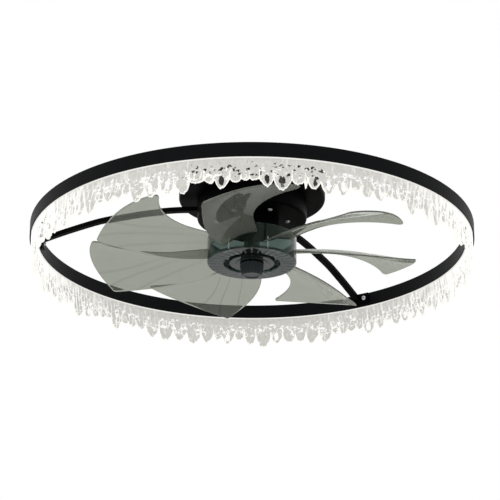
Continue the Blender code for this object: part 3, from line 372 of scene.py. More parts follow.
# Bright zinc on a steel screw: mirror grey with a fine mottle.
cloud = add_node(tree, "TexNoise", {"Vector": place, "Scale": 700.0, "Detail": 3.0})
tint = add_node(tree, "ValToRGB", {0: cloud}, ("#a9abad", "#d3d5d6"))
gloss = add_node(tree, "MapRange", {"Value": cloud, "To Min": 0.2, "To Max": 0.34})
shader = add_node(tree, "BsdfPrincipled", {"Base Color": tint, "Metallic": 1.0, "Roughness": gloss})
add_node(tree, "OutputMaterial", {"Surface": shader})
seat = (CAP_SCREW_CIRCLE, 0.0, CAP_UNDER)
downwards = np.diag([1, 1, -1])
for number in range(1, 7):
    shapes = screw(CAP_SCREW_LENGTH, 17.0 * (number - 1), downwards, seat, 60.0 * (number - 1))
    node = f"cap_screw_{number}"
    add_piece(f"cap_fixing_screw_{number}", shapes, bright_zinc, "ceiling_frame", node)


# Arms: three flat steel bars in the same enamel. Each is screwed up to the canopy's floor, leaves through
# the cap's notch, sweeps down in one long curve and ends in a tab screwed to the ring's inner face.
RING_RADIUS = 0.250
RING_INNER = 0.2396
RING_MIDDLE = 0.2448
ARM_WIDTH = 0.008
ARM_HEIGHT = 0.005
ARM_EXIT = (0.080, -0.0387)
ARM_END = (0.2383, -0.0735)
TAB_LOW = (0.23646, -0.016, -0.0795)
TAB_HIGH = (0.23846, 0.004, -0.0675)
RING_SCREW_SEAT = (0.23646, -0.0100, -0.0735)
RING_SCREW_LENGTH = 0.0044
ARM_FOOT = [(0.0435, -0.0322), (0.0520, -0.0322), (0.0585, -0.0387)]
ARM_ROUTE = np.array(
    [(0, 0), (0.15, 0.04), (0.30, 0.12), (0.45, 0.24), (0.58, 0.36), (0.72, 0.55), (0.87, 0.78), (1, 1)]
)


def smooth_line(points, count):
    """A smooth curve through points, worked out on the line's own length: the cubic Hermite curve whose
    tangent at each point is the slope between its neighbours."""
    along = np.concatenate([[0.0], np.cumsum(np.linalg.norm(np.diff(points, axis=0), axis=1))])
    slope = np.gradient(points, along, axis=0)
    at = np.linspace(0.0, along[-1], count)
    left = np.clip(np.searchsorted(along, at, side="right") - 1, 0, len(along) - 2)
    gap = (along[left + 1] - along[left])[:, None]
    t = (at - along[left])[:, None] / gap
    return (
        (2 * t**3 - 3 * t**2 + 1) * points[left]
        + (t**3 - 2 * t**2 + t) * gap * slope[left]
        + (3 * t**2 - 2 * t**3) * points[left + 1]
        + (t**3 - t**2) * gap * slope[left + 1]
    )


def bar(line, section):
    """A section of (side, lift) carried square to a line of (x, z), with ends drawn to a point to close."""
    tangent = np.gradient(line, axis=0)
    tangent /= np.linalg.norm(tangent, axis=1)[:, None]
    order = np.r_[0, 0:len(line), len(line) - 1]
    size = np.ones(len(order))
    size[[0, -1]] = 0.0
    line, tangent = line[order], tangent[order]
    side, lift = section.T
    lift = size[:, None] * lift
    x = line[:, :1] - tangent[:, 1:] * lift
    z = line[:, 1:] + tangent[:, :1] * lift
    return np.stack([x, size[:, None] * side, z], -1)


def slab(low, high, easing):
    """A block with eased edges upright along Z: its eased (x, y) outline at the foot and head, drawn in
    by the easing at both ends and closed to a point."""
    corners = np.where(corner_signs > 0, high[:2], low[:2])
    outline = rounded(corners, easing)
    centre = np.mean(corners, 0)
    heights = [low[2], low[2], low[2] + easing, high[2] - easing, high[2], high[2]]
    draw = 1 - easing * 0.35 / (high[1] - low[1])
    shares = np.array([0.0, draw, 1.0, 1.0, draw, 0.0])
    flat = centre + (outline - centre) * shares[:, None, None]
    z = np.broadcast_to(np.array(heights)[:, None, None], (*flat.shape[:2], 1))
    return np.concatenate([flat, z], -1)


route = np.array(ARM_EXIT) + (np.array(ARM_END) - ARM_EXIT) * ARM_ROUTE
level = np.array([(0.062, ARM_EXIT[1]), (0.071, ARM_EXIT[1])])
arm_line = np.concatenate([ARM_FOOT, smooth_line(np.concatenate([level, route]), 90)])
arm_section = corner_signs * (ARM_WIDTH / 2, ARM_HEIGHT / 2)
arm_bar = bar(arm_line, rounded(arm_section, 0.0007, steps=3))
arm_tab = slab(TAB_LOW, TAB_HIGH, 0.0006)
inwards = OUT_ALONG_X * (-1, 1, 1)
for number, degrees in enumerate(ARM_DEGREES, 1):
    shapes = [woven(spun(arm_bar, degrees)), woven(spun(arm_tab, degrees))]
    add_piece(f"arm_bar_{number}", shapes, satin_black, "ceiling_frame", f"arm_{number}")
    shapes = screw(RING_SCREW_LENGTH, 25.0 * number, inwards, RING_SCREW_SEAT, degrees)
    node = f"arm_ring_screw_{number}"
    add_piece(f"ring_fixing_screw_{number}", shapes, bright_zinc, "ceiling_frame", node)


# Ring channel: a rolled U channel of aluminium, open below and powder-coated black, with crisp eased edges.
# The arms' tabs are screwed to its inner wall, and the light strip and the icicle ring sit inside it.
CHANNEL_TOP = -0.067
CHANNEL_UNDER = -0.083
CHANNEL_WALL = 0.0014
channel_corners = [
    (RING_RADIUS, CHANNEL_TOP),
    (RING_RADIUS, CHANNEL_UNDER),
    (RING_RADIUS - CHANNEL_WALL, CHANNEL_UNDER),
    (RING_RADIUS - CHANNEL_WALL, CHANNEL_TOP - CHANNEL_WALL),
    (RING_INNER + CHANNEL_WALL, CHANNEL_TOP - CHANNEL_WALL),
    (RING_INNER + CHANNEL_WALL, CHANNEL_UNDER),
    (RING_INNER, CHANNEL_UNDER),
    (RING_INNER, CHANNEL_TOP),
]
powder_black, tree, place = new_material("black_powder_coat")
# Powder coat on aluminium: matt charcoal black, with a fine even grain that catches a little light.
grain = add_node(tree, "TexNoise", {"Vector": place, "Scale": 1500.0, "Detail": 2.0})
cloud = add_node(tree, "TexNoise", {"Vector": place, "Scale": 60.0, "Detail": 3.0})
mixed = add_node(tree, "Math", {0: grain, 1: cloud}, operation="MULTIPLY")
tint = add_node(tree, "ValToRGB", {0: mixed}, ("#08090a", "#121315"))
tint.color_ramp.elements[1].position = 0.6
skin = add_node(tree, "Bump", {"Height": grain, "Strength": 0.25, "Distance": 0.0001})
finish = {"Base Color": tint, "Roughness": 0.45, "Specular IOR Level": 0.05, "Normal": skin}
shader = add_node(tree, "BsdfPrincipled", finish)
add_node(tree, "OutputMaterial", {"Surface": shader})
channel = woven(turned(rounded(channel_corners, 0.0003, steps=3), 360))
add_piece("ring_u_channel", [channel], powder_black, "ceiling_frame", "ring_channel")

led_board, tree, place = new_material("lit_led_strip")
# The light strip: a white board with its small lamps lit, 5 mm apart, warm white.
chips = add_node(tree, "TexVoronoi", {"Vector": place, "Scale": 200.0})
near = add_node(tree, "Math", {0: chips, 1: 0.35}, operation="LESS_THAN")
glow = add_node(tree, "MapRange", {"Value": near, "To Min": 0.6, "To Max": 1.6})
finish = {"Base Color": paint("#f2f0ea"), "Roughness": 0.5}
finish |= {"Emission Color": paint("#fffaf0"), "Emission Strength": glow}
shader = add_node(tree, "BsdfPrincipled", finish)
add_node(tree, "OutputMaterial", {"Surface": shader})
finish_cad("led_strip", led_board)


# Icicle ring: one moulding of clear acrylic. Its plain upper band sits in the channel, and below it hang
# melted-looking drops of all widths. The strip's light inside it is painted on as a glow, white at every rim.
DROP_COUNT = 112
BAND_STEPS = 1800
BAND_TOP = -0.0722
PLAIN_FOOT = -0.0940
VALLEY = -0.1062
LONGEST_DROP = 0.0136
LOWEST_TIP = -0.1199
LONG_CHANCE = 0.46
JAG_DEPTH = 0.00045
NECK_HALF, DROP_BULGE = 0.0019, 0.0010
RIM_LIGHT_WIDTH = 0.0009
RIPPLE_START, RIPPLE_REACH = -0.0860, 0.012
PARTING_CLIMB, PARTING_WIDTH, THINNEST_LINE = 0.0125, 0.0011, 0.0002
LENS_CHANCE, LENS_HALF_WIDTH = 0.35, 0.42
drawn = np.random.default_rng(8)


def melted(turn, z, count, lowest, highest, lean):
    """Melted lumps: a sum of sines round the ring that lean with depth, about -1 to 1."""
    waves = drawn.integers(lowest, highest, count)[:, None, None]
    lean = drawn.uniform(-lean, lean, count)[:, None, None]
    phase = drawn.uniform(0, 2 * np.pi, count)[:, None, None]
    return np.sin(waves * turn[None] + lean * z[None] + phase).sum(0) / np.sqrt(count)


# Long and short drops follow each other at random: a long one is also a wide one.
is_long = drawn.random(DROP_COUNT) < LONG_CHANCE
long_ones, short_ones = drawn.uniform(0.62, 1.0, DROP_COUNT), drawn.uniform(0.08, 0.42, DROP_COUNT)
long_share = np.where(is_long, long_ones, short_ones)
drop_width = 0.55 + 0.75 * long_share + drawn.uniform(-0.12, 0.12, DROP_COUNT)
drop_ends = np.concatenate([[0.0], np.cumsum(drop_width)]) * 2 * np.pi / drop_width.sum()
roundness = drawn.uniform(1.5, 2.8, DROP_COUNT)
# Nine drops at the front, as the photograph shows them: where they part, and their lengths, both in mm.
FRONT_PARTINGS = np.array([-65.0, -49.6, -38.8, -22.8, -11.4, -2.2, 7.6, 22.1, 41.1, 54.5])
FRONT_LENGTHS = np.array([2.4, 4.2, 11.0, 4.4, 1.8, 1.6, 9.0, 12.2, 4.6])
front_ends = 1.5 * np.pi + FRONT_PARTINGS / 1000 / RING_MIDDLE
first = np.searchsorted(drop_ends, front_ends[0])
last = np.searchsorted(drop_ends, front_ends[-1], side="right")
drop_ends = np.concatenate([drop_ends[:first], front_ends, drop_ends[last:]])
front_share = FRONT_LENGTHS / 1000 / LONGEST_DROP
long_share = np.concatenate([long_share[:first], front_share, long_share[last - 1 :]])
DROP_COUNT = len(long_share)
roundness = np.resize(roundness, DROP_COUNT)
skew = drawn.uniform(-0.22, 0.22, DROP_COUNT)
band_turn = np.arange(BAND_STEPS)[None, :] * 2 * np.pi / BAND_STEPS
owner = np.clip(np.searchsorted(drop_ends, band_turn[0], side="right") - 1, 0, DROP_COUNT - 1)
half_width = (drop_ends[owner + 1] - drop_ends[owner]) / 2
offside = (band_turn[0] - drop_ends[owner] - half_width) / half_width
offside = offside + skew[owner] * (1 - offside**2)
bulge = (1 - np.clip(abs(offside), 0, 1) ** roundness[owner]) ** 0.85
jagged = melted(band_turn, 0 * band_turn, 6, 150, 700, 1.0)[0]
foot_line = VALLEY - LONGEST_DROP * long_share[owner] * bulge + JAG_DEPTH * jagged * (0.4 + bulge)
foot_line = np.maximum(foot_line, LOWEST_TIP)
fall_slope = np.gradient(foot_line) / (RING_MIDDLE * 2 * np.pi / BAND_STEPS)
plain_z = np.array([BAND_TOP, BAND_TOP, -0.0830, -0.0850, -0.0880, -0.0912])
plain_half = np.array([0.0, 0.0033, 0.0034, 0.0034, 0.0033, 0.0031])
drop_share = [0.0, 0.12, 0.24, 0.36, 0.48, 0.60, 0.70, 0.79, 0.86, 0.915, 0.96, 0.987, 1.0]
drop_share = np.array(drop_share)[:, None]
drop_z = PLAIN_FOOT + (foot_line - PLAIN_FOOT) * drop_share
drop_half = (NECK_HALF + DROP_BULGE * bulge * drop_share) * np.sqrt(1 - drop_share**5)
drop_half += DROP_BULGE * (1 - drop_share) ** 2
section_z = np.concatenate([plain_z[:, None] + 0 * foot_line, drop_z])
section_half = np.concatenate([plain_half[:, None] + 0 * foot_line, drop_half])
section_z = np.concatenate([section_z, section_z[-2:0:-1]])
section_side = np.concatenate([section_half, -section_half[-2:0:-1]])
hang = np.clip((RIPPLE_START - section_z) / RIPPLE_REACH, 0.0, 1.0)
ripple = melted(band_turn, section_z, 7, 90, 330, 900.0)
band_radius = RING_MIDDLE + section_side * (1 + 0.24 * hang * ripple)
band = np.stack([band_radius * np.cos(band_turn), band_radius * np.sin(band_turn), section_z], -1)
# The rim light mark paints white light in a thin band along the foot of each drop.
height_over_foot = (section_z - foot_line) / np.sqrt(1 + fall_slope**2)
rim_light_mark = np.clip(1.35 - height_over_foot / RIM_LIGHT_WIDTH, 0.0, 1.0)
# Where two drops part, a painted line of white light climbs from the valley, thinner as it climbs.
climb = np.clip((section_z - VALLEY) / PARTING_CLIMB, 0.0, 1.0)
wander = 0.75 + 0.5 * melted(band_turn, section_z, 4, 40, 200, 500.0)
line_width = np.maximum((PARTING_WIDTH * (1 - climb) ** 2 + THINNEST_LINE) * wander, THINNEST_LINE)
beside = (1 - abs(offside)) * half_width * RING_MIDDLE
on_line = (climb < 0.8) & (section_z < PLAIN_FOOT + 0.001)
parting_light_line = np.clip(1.2 - beside / line_width, 0.0, 1.0) * on_line
rim_light_mark = np.maximum(rim_light_mark, parting_light_line)
# Some long drops work as lenses: a clear oval in the middle shows what is behind.
lens_strength = (drawn.random(DROP_COUNT) < LENS_CHANCE) * np.clip((long_share - 0.35) * 3.0, 0.0, 1.0)
lens_strength[first : first + len(front_share)] = np.clip((front_share - 0.15) * 3.0, 0.0, 1.0)
lens_shift = drawn.uniform(-0.15, 0.15, DROP_COUNT)[owner]
lens_half_height = (VALLEY - foot_line.min() + 0.004) / 2 * (0.35 + 0.45 * long_share[owner])
lens_middle = VALLEY - LONGEST_DROP * 0.42 * long_share[owner] + 0.0025
lens_far = np.hypot((offside + lens_shift) / LENS_HALF_WIDTH, (section_z - lens_middle) / lens_half_height)
core_mark = lens_strength[owner] * np.clip(1.2 - 0.7 * lens_far, 0.0, 1.0)


def drops(turn, radius, top, tip, width, thickness, lean):
    """Drops as lens-shaped pads. Round each outline, x = width / 2 sin t (0.86 - 0.14 cos t) and z falls as
    cos t from top to tip. Rings at 1, 0.74 and 0 of the outline rise to half the thickness."""
    sizes = np.array([turn, radius, top, tip, width, thickness, lean])
    turn, radius, top, tip, width, thickness, lean = sizes[..., None, None]
    t = np.arange(12) * 2 * np.pi / 12 + np.pi / 12
    outline_x = np.sin(t) * (0.86 - 0.14 * np.cos(t))
    outline_z = (1 - np.cos(t)) / 2
    share = np.array([0.0, 0.74, 1.0, 0.74, 0.0])[:, None]
    side = np.array([1.0, 0.72, 0.0, -0.72, -1.0])[:, None]
    middle = 0.56
    fall = middle + share * (outline_z - middle)
    x = share * outline_x * width / 2 + lean * fall
    z = top + (tip - top) * fall
    r = radius + side * thickness / 2 * (0.75 + 0.25 * fall)
    a = turn + x / radius
    # The rim mark paints white light along the lower part of the outer outline.
    rim = np.array([0.0, 0.0, 1.0, 0.0, 0.0])[:, None] * np.clip(outline_z * 2.2 - 0.6, 0, 1)
    return np.stack([r * np.cos(a), r * np.sin(a), z], -1), rim


BEAD_COUNT = 90
bead_turn = (np.arange(BEAD_COUNT) + drawn.uniform(-0.48, 0.48, BEAD_COUNT)) * 2 * np.pi / BEAD_COUNT
bead_size = drawn.random(BEAD_COUNT)
bead_top = -0.0915 - 0.006 * drawn.random(BEAD_COUNT)
beads, bead_rim_light = drops(
    turn=bead_turn,
    radius=RING_MIDDLE + np.where(np.arange(BEAD_COUNT) % 2, 0.0022, -0.0022),
    top=bead_top,
    tip=bead_top - 0.0055 - 0.0060 * bead_size,
    width=0.0035 + 0.0055 * bead_size,
    thickness=0.0016 + 0.0010 * bead_size,
    lean=drawn.uniform(-0.003, 0.003, BEAD_COUNT),
)

acrylic, tree, place = new_material("acrylic_with_painted_glow")
# Clear acrylic, moulded with bubbles: a milky base under a painted glow that stands in for the strip's light,
# with painted white light at each rim, at the partings, on bubble walls, under the channel and on grazing
# faces, and with clear bubbles and lenses that show what is behind.
height = add_node(tree, "SeparateXYZ", {0: place}).outputs["Z"]
rim = add_node(tree, "Attribute", attribute_name="rim")
core = add_node(tree, "Attribute", attribute_name="core")
mottle = add_node(tree, "TexNoise", {"Vector": place, "Scale": 260.0, "Detail": 4.0, "Roughness": 0.6})
stir = add_node(tree, "TexNoise", {"Vector": place, "Scale": 300.0, "Detail": 2.0})
shift = {0: stir.outputs["Color"], 1: (0.008, 0.008, 0.006), 2: place}
stirred = add_node(tree, "VectorMath", shift, operation="MULTIPLY_ADD")
flat = add_node(tree, "VectorMath", {0: stirred, 1: (1.0, 1.0, 1.7)}, operation="MULTIPLY")
cells = add_node(tree, "TexVoronoi", {"Vector": flat, "Scale": 210.0})
pick = add_node(tree, "SeparateColor", {0: cells.outputs["Color"]})
# Four zones by height, each from 0 at its first height to 1 at its second: below the plain band, above the
# drops' feet, the band of painted glints, and the painted glow line just under the channel.
ZONES = ((-0.0862, -0.0940), (-0.1090, -0.1030), (-0.0920, -0.0975), (-0.0848, -0.0836))
below_plain, over_foot, painted_glint_zone, painted_glow_line = (
    add_node(tree, "MapRange", {"Value": height, "From Min": start, "From Max": full})
    for start, full in ZONES
)
in_zone = add_node(tree, "Math", {0: below_plain, 1: over_foot}, operation="MULTIPLY")
fleck_size = add_node(tree, "MapRange", {"Value": pick, "From Min": 0.42, "To Max": 0.66})
fleck_size = add_node(tree, "Math", {0: fleck_size, 1: in_zone}, operation="MULTIPLY")
bubble = add_node(tree, "Math", {0: cells, 1: fleck_size}, operation="LESS_THAN")
blot = add_node(tree, "MapRange", {"Value": mottle, "To Min": -0.45, "To Max": 0.45})
lens_sum = add_node(tree, "Math", {0: core.outputs["Fac"], 1: blot}, operation="ADD")
lens_hole = add_node(tree, "MapRange", {"Value": lens_sum, "From Min": 0.56, "From Max": 0.62})
hole = add_node(tree, "Math", {0: bubble, 1: lens_hole}, operation="MAXIMUM")
# Painted glints: thin white lines on the walls of bubble cells, in a band below the plain zone.
walls = add_node(tree, "TexVoronoi", {"Vector": stirred, "Scale": 170.0}, feature="DISTANCE_TO_EDGE")
broken = add_node(tree, "TexNoise", {"Vector": place, "Scale": 110.0, "Detail": 1.0})
wall_width = {"Value": broken, "From Min": 0.50, "From Max": 0.66, "To Max": 0.10}
wall_width = add_node(tree, "MapRange", wall_width)
wall_width = add_node(tree, "Math", {0: wall_width, 1: painted_glint_zone}, operation="MULTIPLY")
painted_glint = add_node(tree, "Math", {0: walls, 1: wall_width}, operation="LESS_THAN")
# Painted rim light: white where the rim mark is high.
painted_rim_light = add_node(tree, "MapRange", {"Value": rim.outputs["Fac"], "From Min": 0.25, "From Max": 0.50})
# Painted grazing light: faces turned away from the eye are painted white, broken by tall grey streaks.
side_view = add_node(tree, "LayerWeight", {"Blend": 0.5})
tall = add_node(tree, "VectorMath", {0: place, 1: (1.0, 1.0, 0.28)}, operation="MULTIPLY")
streak = add_node(tree, "TexNoise", {"Vector": tall, "Scale": 230.0, "Detail": 3.0, "Roughness": 0.6})
streak_lift = {"Value": streak, "From Min": 0.3, "From Max": 0.7, "To Min": -0.34, "To Max": 0.18}
streak_lift = add_node(tree, "MapRange", streak_lift)
turned_away = add_node(tree, "Math", {0: side_view.outputs["Facing"], 1: streak_lift}, operation="ADD")
painted_grazing_light = add_node(tree, "MapRange", {"Value": turned_away, "From Min": 0.14, "From Max": 0.56})
painted_shine = painted_rim_light
for lit in (painted_glow_line, painted_glint, painted_grazing_light):
    painted_shine = add_node(tree, "Math", {0: painted_shine, 1: lit}, operation="MAXIMUM")
# Painted light: the emission is an even glow for the strip's light, rising to white on the painted rims,
# partings, glints, glow line and grazing faces.
glow = add_node(tree, "MapRange", {"Value": painted_shine, "To Min": 0.35, "To Max": 0.76})
tint = add_node(tree, "ValToRGB", {0: mottle}, ("#908f87", "#a5a49c"))
tint.color_ramp.elements[0].position = 0.35
tint.color_ramp.elements[1].position = 0.65
skin = add_node(tree, "Bump", {"Height": mottle, "Strength": 0.35, "Distance": 0.0006})
finish = {
    "Base Color": tint,
    "Roughness": 0.12,
    "IOR": 1.49,
    "Normal": skin,
    "Emission Color": paint("#fffefa"),
    "Emission Strength": glow,
}
milky = add_node(tree, "BsdfPrincipled", finish)
clear = add_node(tree, "BsdfTransparent")
side = add_node(tree, "NewGeometry")
unlit = add_node(tree, "Math", {0: 0.94, 1: painted_rim_light}, operation="SUBTRACT")
hole = add_node(tree, "Math", {0: hole, 1: unlit}, operation="MULTIPLY")
through = add_node(tree, "Math", {0: hole, 1: side.outputs["Backfacing"]}, operation="MAXIMUM")
surface = add_node(tree, "MixShader", {0: through, 1: milky, 2: clear})
add_node(tree, "OutputMaterial", {"Surface": surface})
marks = {
    "rim": np.concatenate([rim_light_mark.ravel(), np.broadcast_to(bead_rim_light, beads.shape[:3]).ravel()]),
    "core": np.concatenate([core_mark.ravel(), np.zeros(beads.size // 3)]),
}
shapes = [woven(band), woven(beads, wrap_rows=False)]
add_piece(
    "icicle_moulding", shapes, acrylic, "ceiling_frame", "icicle_ring", marks, sharp=80.0
)


# Motor: a black rotor bell over a wound stator, on two ball bearings in a carrier tube. Steel laminations,
# enamelled copper and ferrite are hidden in the bell, and the bell shows through the clear hub.
bearing_steel, tree, place = new_material("ground_bearing_steel")
# Ground bearing steel: bright, with fine grinding marks.
grain = add_node(tree, "TexNoise", {"Vector": place, "Scale": 1200.0, "Detail": 2.0})
tint = add_node(tree, "ValToRGB", {0: grain}, ("#c4c6c9", "#dfe0e2"))
shader = add_node(tree, "BsdfPrincipled", {"Base Color": tint, "Metallic": 1.0, "Roughness": 0.16})
add_node(tree, "OutputMaterial", {"Surface": shader})
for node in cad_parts:
    if node == "shaft" or "_bearing_" in node:
        finish_cad(node, bearing_steel)

lamination, tree, place = new_material("stacked_silicon_steel")
# Stamped sheets 0.5 mm thick, stacked: grey with a thin dark line between sheets.
split = add_node(tree, "SeparateXYZ", {0: place})
sheet = add_node(tree, "Math", {0: split.outputs["Z"], 1: 0.0005}, operation="MODULO")
dark = add_node(tree, "MapRange", {"Value": sheet, "From Min": -0.0001, "From Max": 0.0})
tint = add_node(tree, "ValToRGB", {0: dark}, ("#6d7074", "#2b2d30"))
shader = add_node(tree, "BsdfPrincipled", {"Base Color": tint, "Metallic": 1.0, "Roughness": 0.45})
add_node(tree, "OutputMaterial", {"Surface": shader})
finish_cad("stator_core", lamination)

copper, tree, place = new_material("enamelled_copper_wire")
# Enamelled copper wire 0.5 mm thick, wound side by side.
wires = add_node(tree, "TexWave", {"Vector": place, "Scale": 620.0}, bands_direction="Z")
tint = add_node(tree, "ValToRGB", {0: wires}, ("#7c3c1a", "#c8743e"))
skin = add_node(tree, "Bump", {"Height": wires, "Strength": 0.6, "Distance": 0.0002})
shader = add_node(
    tree, "BsdfPrincipled", {"Base Color": tint, "Metallic": 1.0, "Roughness": 0.32, "Normal": skin}
)
add_node(tree, "OutputMaterial", {"Surface": shader})
finish_cad("stator_winding", copper)

ferrite, tree, place = new_material("sintered_ferrite")
# Sintered ferrite: dark grey and dull, with a fine grain.
grain = add_node(tree, "TexNoise", {"Vector": place, "Scale": 1600.0, "Detail": 2.0})
tint = add_node(tree, "ValToRGB", {0: grain}, ("#26272a", "#3c3e42"))
shader = add_node(tree, "BsdfPrincipled", {"Base Color": tint, "Roughness": 0.65})
add_node(tree, "OutputMaterial", {"Surface": shader})
finish_cad("magnet_ring", ferrite)
finish_cad("bearing_carrier", satin_black)

BELL_RADIUS = 0.0304
BELL_TOP = -0.0540
BELL_UNDER = -0.0680
BELL_HOLE = 0.0040
BELL_WALL, BELL_FLOOR = 0.0012, 0.0018
bell_corners = can_section(BELL_RADIUS, BELL_HOLE, BELL_TOP, BELL_UNDER, BELL_WALL, BELL_FLOOR)
bell = woven(turned(rounded(bell_corners, [0.0003, 0.0016, 0.0002, 0.0002, 0.0006, 0.0003]), 96))
add_piece("motor_bell", [bell], satin_black, "rotor", "rotor_bell")


# Blade hub: one moulding of clear smoky polycarbonate. A cup with a boss on the motor shaft, seven upright
# ribs from boss to wall, and a foot with fine radial grooves outside a deeper ring groove.
BLADE_COUNT = 7
HUB_RADIUS = 0.0502
HUB_TOP = -0.075
HUB_UNDER = -0.105
HUB_WALL = 0.002
HUB_PLATE = 0.0022
HUB_FLOOR = HUB_UNDER + HUB_PLATE
BOSS_RADIUS = 0.0090
SHAFT_HOLE = 0.0040
BOSS_TOP = -0.0683
FLANGE_RADIUS = 0.0185
FLANGE_FACE = -0.1058
GROOVE_INNER, GROOVE_OUTER = 0.0254, 0.0320
GROOVE_TOP = -0.0995
GROOVE_COUNT = 32
SEAM_TOP = -0.0902
SEAM_DEGREES = 33.6
STEPS_PER_GROOVE = 12
HUB_STEPS = GROOVE_COUNT * STEPS_PER_GROOVE
FOOT_GROOVE_DEPTH = 0.0003
SEAM_SINK = 0.004
RIB_START, RIB_END = 0.0068, 0.0437
RIB_HEIGHT, RIB_HALF = 0.017, 0.0008
hub_corners = [
    (HUB_RADIUS, HUB_TOP),
    (HUB_RADIUS, SEAM_TOP),
    (HUB_RADIUS, HUB_UNDER),
    (GROOVE_OUTER, HUB_UNDER),
    (GROOVE_OUTER, GROOVE_TOP),
    (GROOVE_INNER, GROOVE_TOP),
    (GROOVE_INNER, HUB_UNDER),
    (FLANGE_RADIUS, HUB_UNDER),
    (FLANGE_RADIUS - 0.0004, FLANGE_FACE),
    (SHAFT_HOLE, FLANGE_FACE),
    (SHAFT_HOLE, BOSS_TOP),
    (BOSS_RADIUS, BOSS_TOP),
    (BOSS_RADIUS, HUB_FLOOR),
    (GROOVE_INNER - HUB_WALL, HUB_FLOOR),
    (GROOVE_INNER - HUB_WALL, GROOVE_TOP + HUB_PLATE),
    (GROOVE_OUTER + HUB_WALL, GROOVE_TOP + HUB_PLATE),
    (GROOVE_OUTER + HUB_WALL, HUB_FLOOR),
    (HUB_RADIUS - HUB_WALL, HUB_FLOOR),
    (HUB_RADIUS - HUB_WALL, HUB_TOP),
]
hub_easing = [0.0005, 0.0003, 0.0014, 0.0004, 0.0008, 0.0008, 0.0004, 0.0002, 0.0002, 0.0003]
hub_easing += [0.0003, 0.0005, 0.0008, 0.0006, 0.0010, 0.0010, 0.0006, 0.0008, 0.0005]
hub_cup = turned(rounded(hub_corners, hub_easing, steps=3), HUB_STEPS)
from_axis = np.hypot(hub_cup[..., 0], hub_cup[..., 1])
groove_phase = np.arange(HUB_STEPS) % STEPS_PER_GROOVE
blade_degrees = 360.0 / BLADE_COUNT * np.arange(BLADE_COUNT)
seam_columns = np.rint((SEAM_DEGREES + blade_degrees) / 360 * HUB_STEPS)
at_seam = np.isin(np.arange(HUB_STEPS), seam_columns)
outside = (from_axis > HUB_RADIUS - 0.0001) & (hub_cup[..., 2] < SEAM_TOP + 0.0001)
on_seam = at_seam[None, :] & outside
hub_cup[..., :2] *= 1 - SEAM_SINK * on_seam[..., None]
on_foot = (from_axis > GROOVE_OUTER + 0.0005) & (from_axis < HUB_RADIUS - 0.0008)
on_foot &= hub_cup[..., 2] < HUB_UNDER + 0.0001
hub_cup[..., 2] += FOOT_GROOVE_DEPTH * (on_foot & (groove_phase == 0)[None, :])

rib_steps = np.linspace(0.0, 1.0, 14)
rib_radius = RIB_START + (RIB_END - RIB_START) * rib_steps
over_groove = (rib_radius > GROOVE_INNER - 0.0016) & (rib_radius < GROOVE_OUTER + 0.0016)
rib_foot = np.where(over_groove, GROOVE_TOP + HUB_PLATE / 2, HUB_FLOOR - 0.0006)
rib_head = np.maximum(HUB_FLOOR + RIB_HEIGHT * (1 - rib_steps), rib_foot + 0.0002)
rib_corners = ((-RIB_HALF, rib_foot), (-RIB_HALF, rib_head), (RIB_HALF, rib_head), (RIB_HALF, rib_foot))
rib = np.stack([np.stack([rib_radius, side + 0 * rib_radius, z], -1) for side, z in rib_corners], 1)
inner_end, outer_end = (np.repeat(end.mean(0)[None, None], 4, 1) for end in (rib[0], rib[-1]))
rib = np.concatenate([inner_end, rib, outer_end])
ribs = spun(rib, blade_degrees)

smoke_clear, tree, place = new_material("clear_smoky_polycarbonate")
# Clear polycarbonate with a smoky blue-green dye: see-through and glossy, with a faint moulding ripple.
# Along the seven seam grooves in the wall the colour is painted white, as glints.
flow = add_node(tree, "TexNoise", {"Vector": place, "Scale": 90.0, "Detail": 2.0})
tint = add_node(tree, "ValToRGB", {0: flow}, ("#4a5955", "#52615d"))
skin = add_node(tree, "Bump", {"Height": flow, "Strength": 0.01, "Distance": 0.0004})
finish = {
    "Base Color": tint,
    "Roughness": 0.03,
    "IOR": 1.30,
    "Transmission Weight": 0.94,
    "Specular Tint": paint("#c4e0cc"),
    "Normal": skin,
}
shader = add_node(tree, "BsdfPrincipled", finish)
seam_glint = add_node(tree, "Attribute", attribute_name="seam_glint")
painted_seam_glint = {"Value": seam_glint.outputs["Fac"], "From Min": 0.45, "From Max": 0.75, "To Max": 0.85}
painted_seam_glint = add_node(tree, "MapRange", painted_seam_glint)
painted_glint_white = add_node(tree, "BsdfPrincipled", {"Base Color": paint("#eef3f0"), "Roughness": 0.4})
surface = add_node(tree, "MixShader", {0: painted_seam_glint, 1: shader, 2: painted_glint_white})
add_node(tree, "OutputMaterial", {"Surface": surface})
# The seam mark paints the white glints on the wall's seam grooves.
marks = {"seam_glint": np.concatenate([on_seam.ravel(), np.zeros(ribs.size // 3)])}
shapes = [woven(hub_cup), woven(ribs)]
add_piece("smoky_hub", shapes, smoke_clear, "rotor", "blade_hub", marks)


# Blades: seven alike, injection-moulded in smoky polycarbonate. Each is a cambered, swept sheet with three
# fanned folds that start at the root, and rounded corners. Its root stands close against the hub's wall.
BLADE_REACH = 0.184
BLADE_ROOT = 0.0505
BLADE_TOP = -0.075
BLADE_THICKNESS = 0.0018
WAIST = 0.34
ALONG_STEPS = 72
ACROSS_STEPS = 72
FOLD_DEPTH = 0.00015
# Each fold lies at start + slope v + bend v^2 across the blade, where v is the share along it.
FOLDS = ((0.575, -0.62, -0.12), (0.905, -0.82, 0.0), (1.420, -1.868, 0.777))
LOW_TURN, LOW_SWEEP = -25.5, 21.2
HIGH_TURN, ROOT_FLARE, TIP_FLARE = 13.8, 5.6, 17.2
TIP_SLANT, TIP_CURL = 0.0070, 0.0122
LOW_EDGE_DROP, LOW_EDGE_LIFT = 0.0302, 0.0064
HIGH_EDGE_DROP, HIGH_EDGE_DIP = 0.0084, 0.0021
CAMBER = 1.75
CORNER_START, CORNER_REACH = 0.93, 0.07
LOW_CORNER, HIGH_CORNER = 0.030, 0.070
# The rim thins to nothing in a half round over the last 1/70 of the width and 1/130 of the length.
RIM_ACROSS, RIM_ALONG = 70.0, 130.0


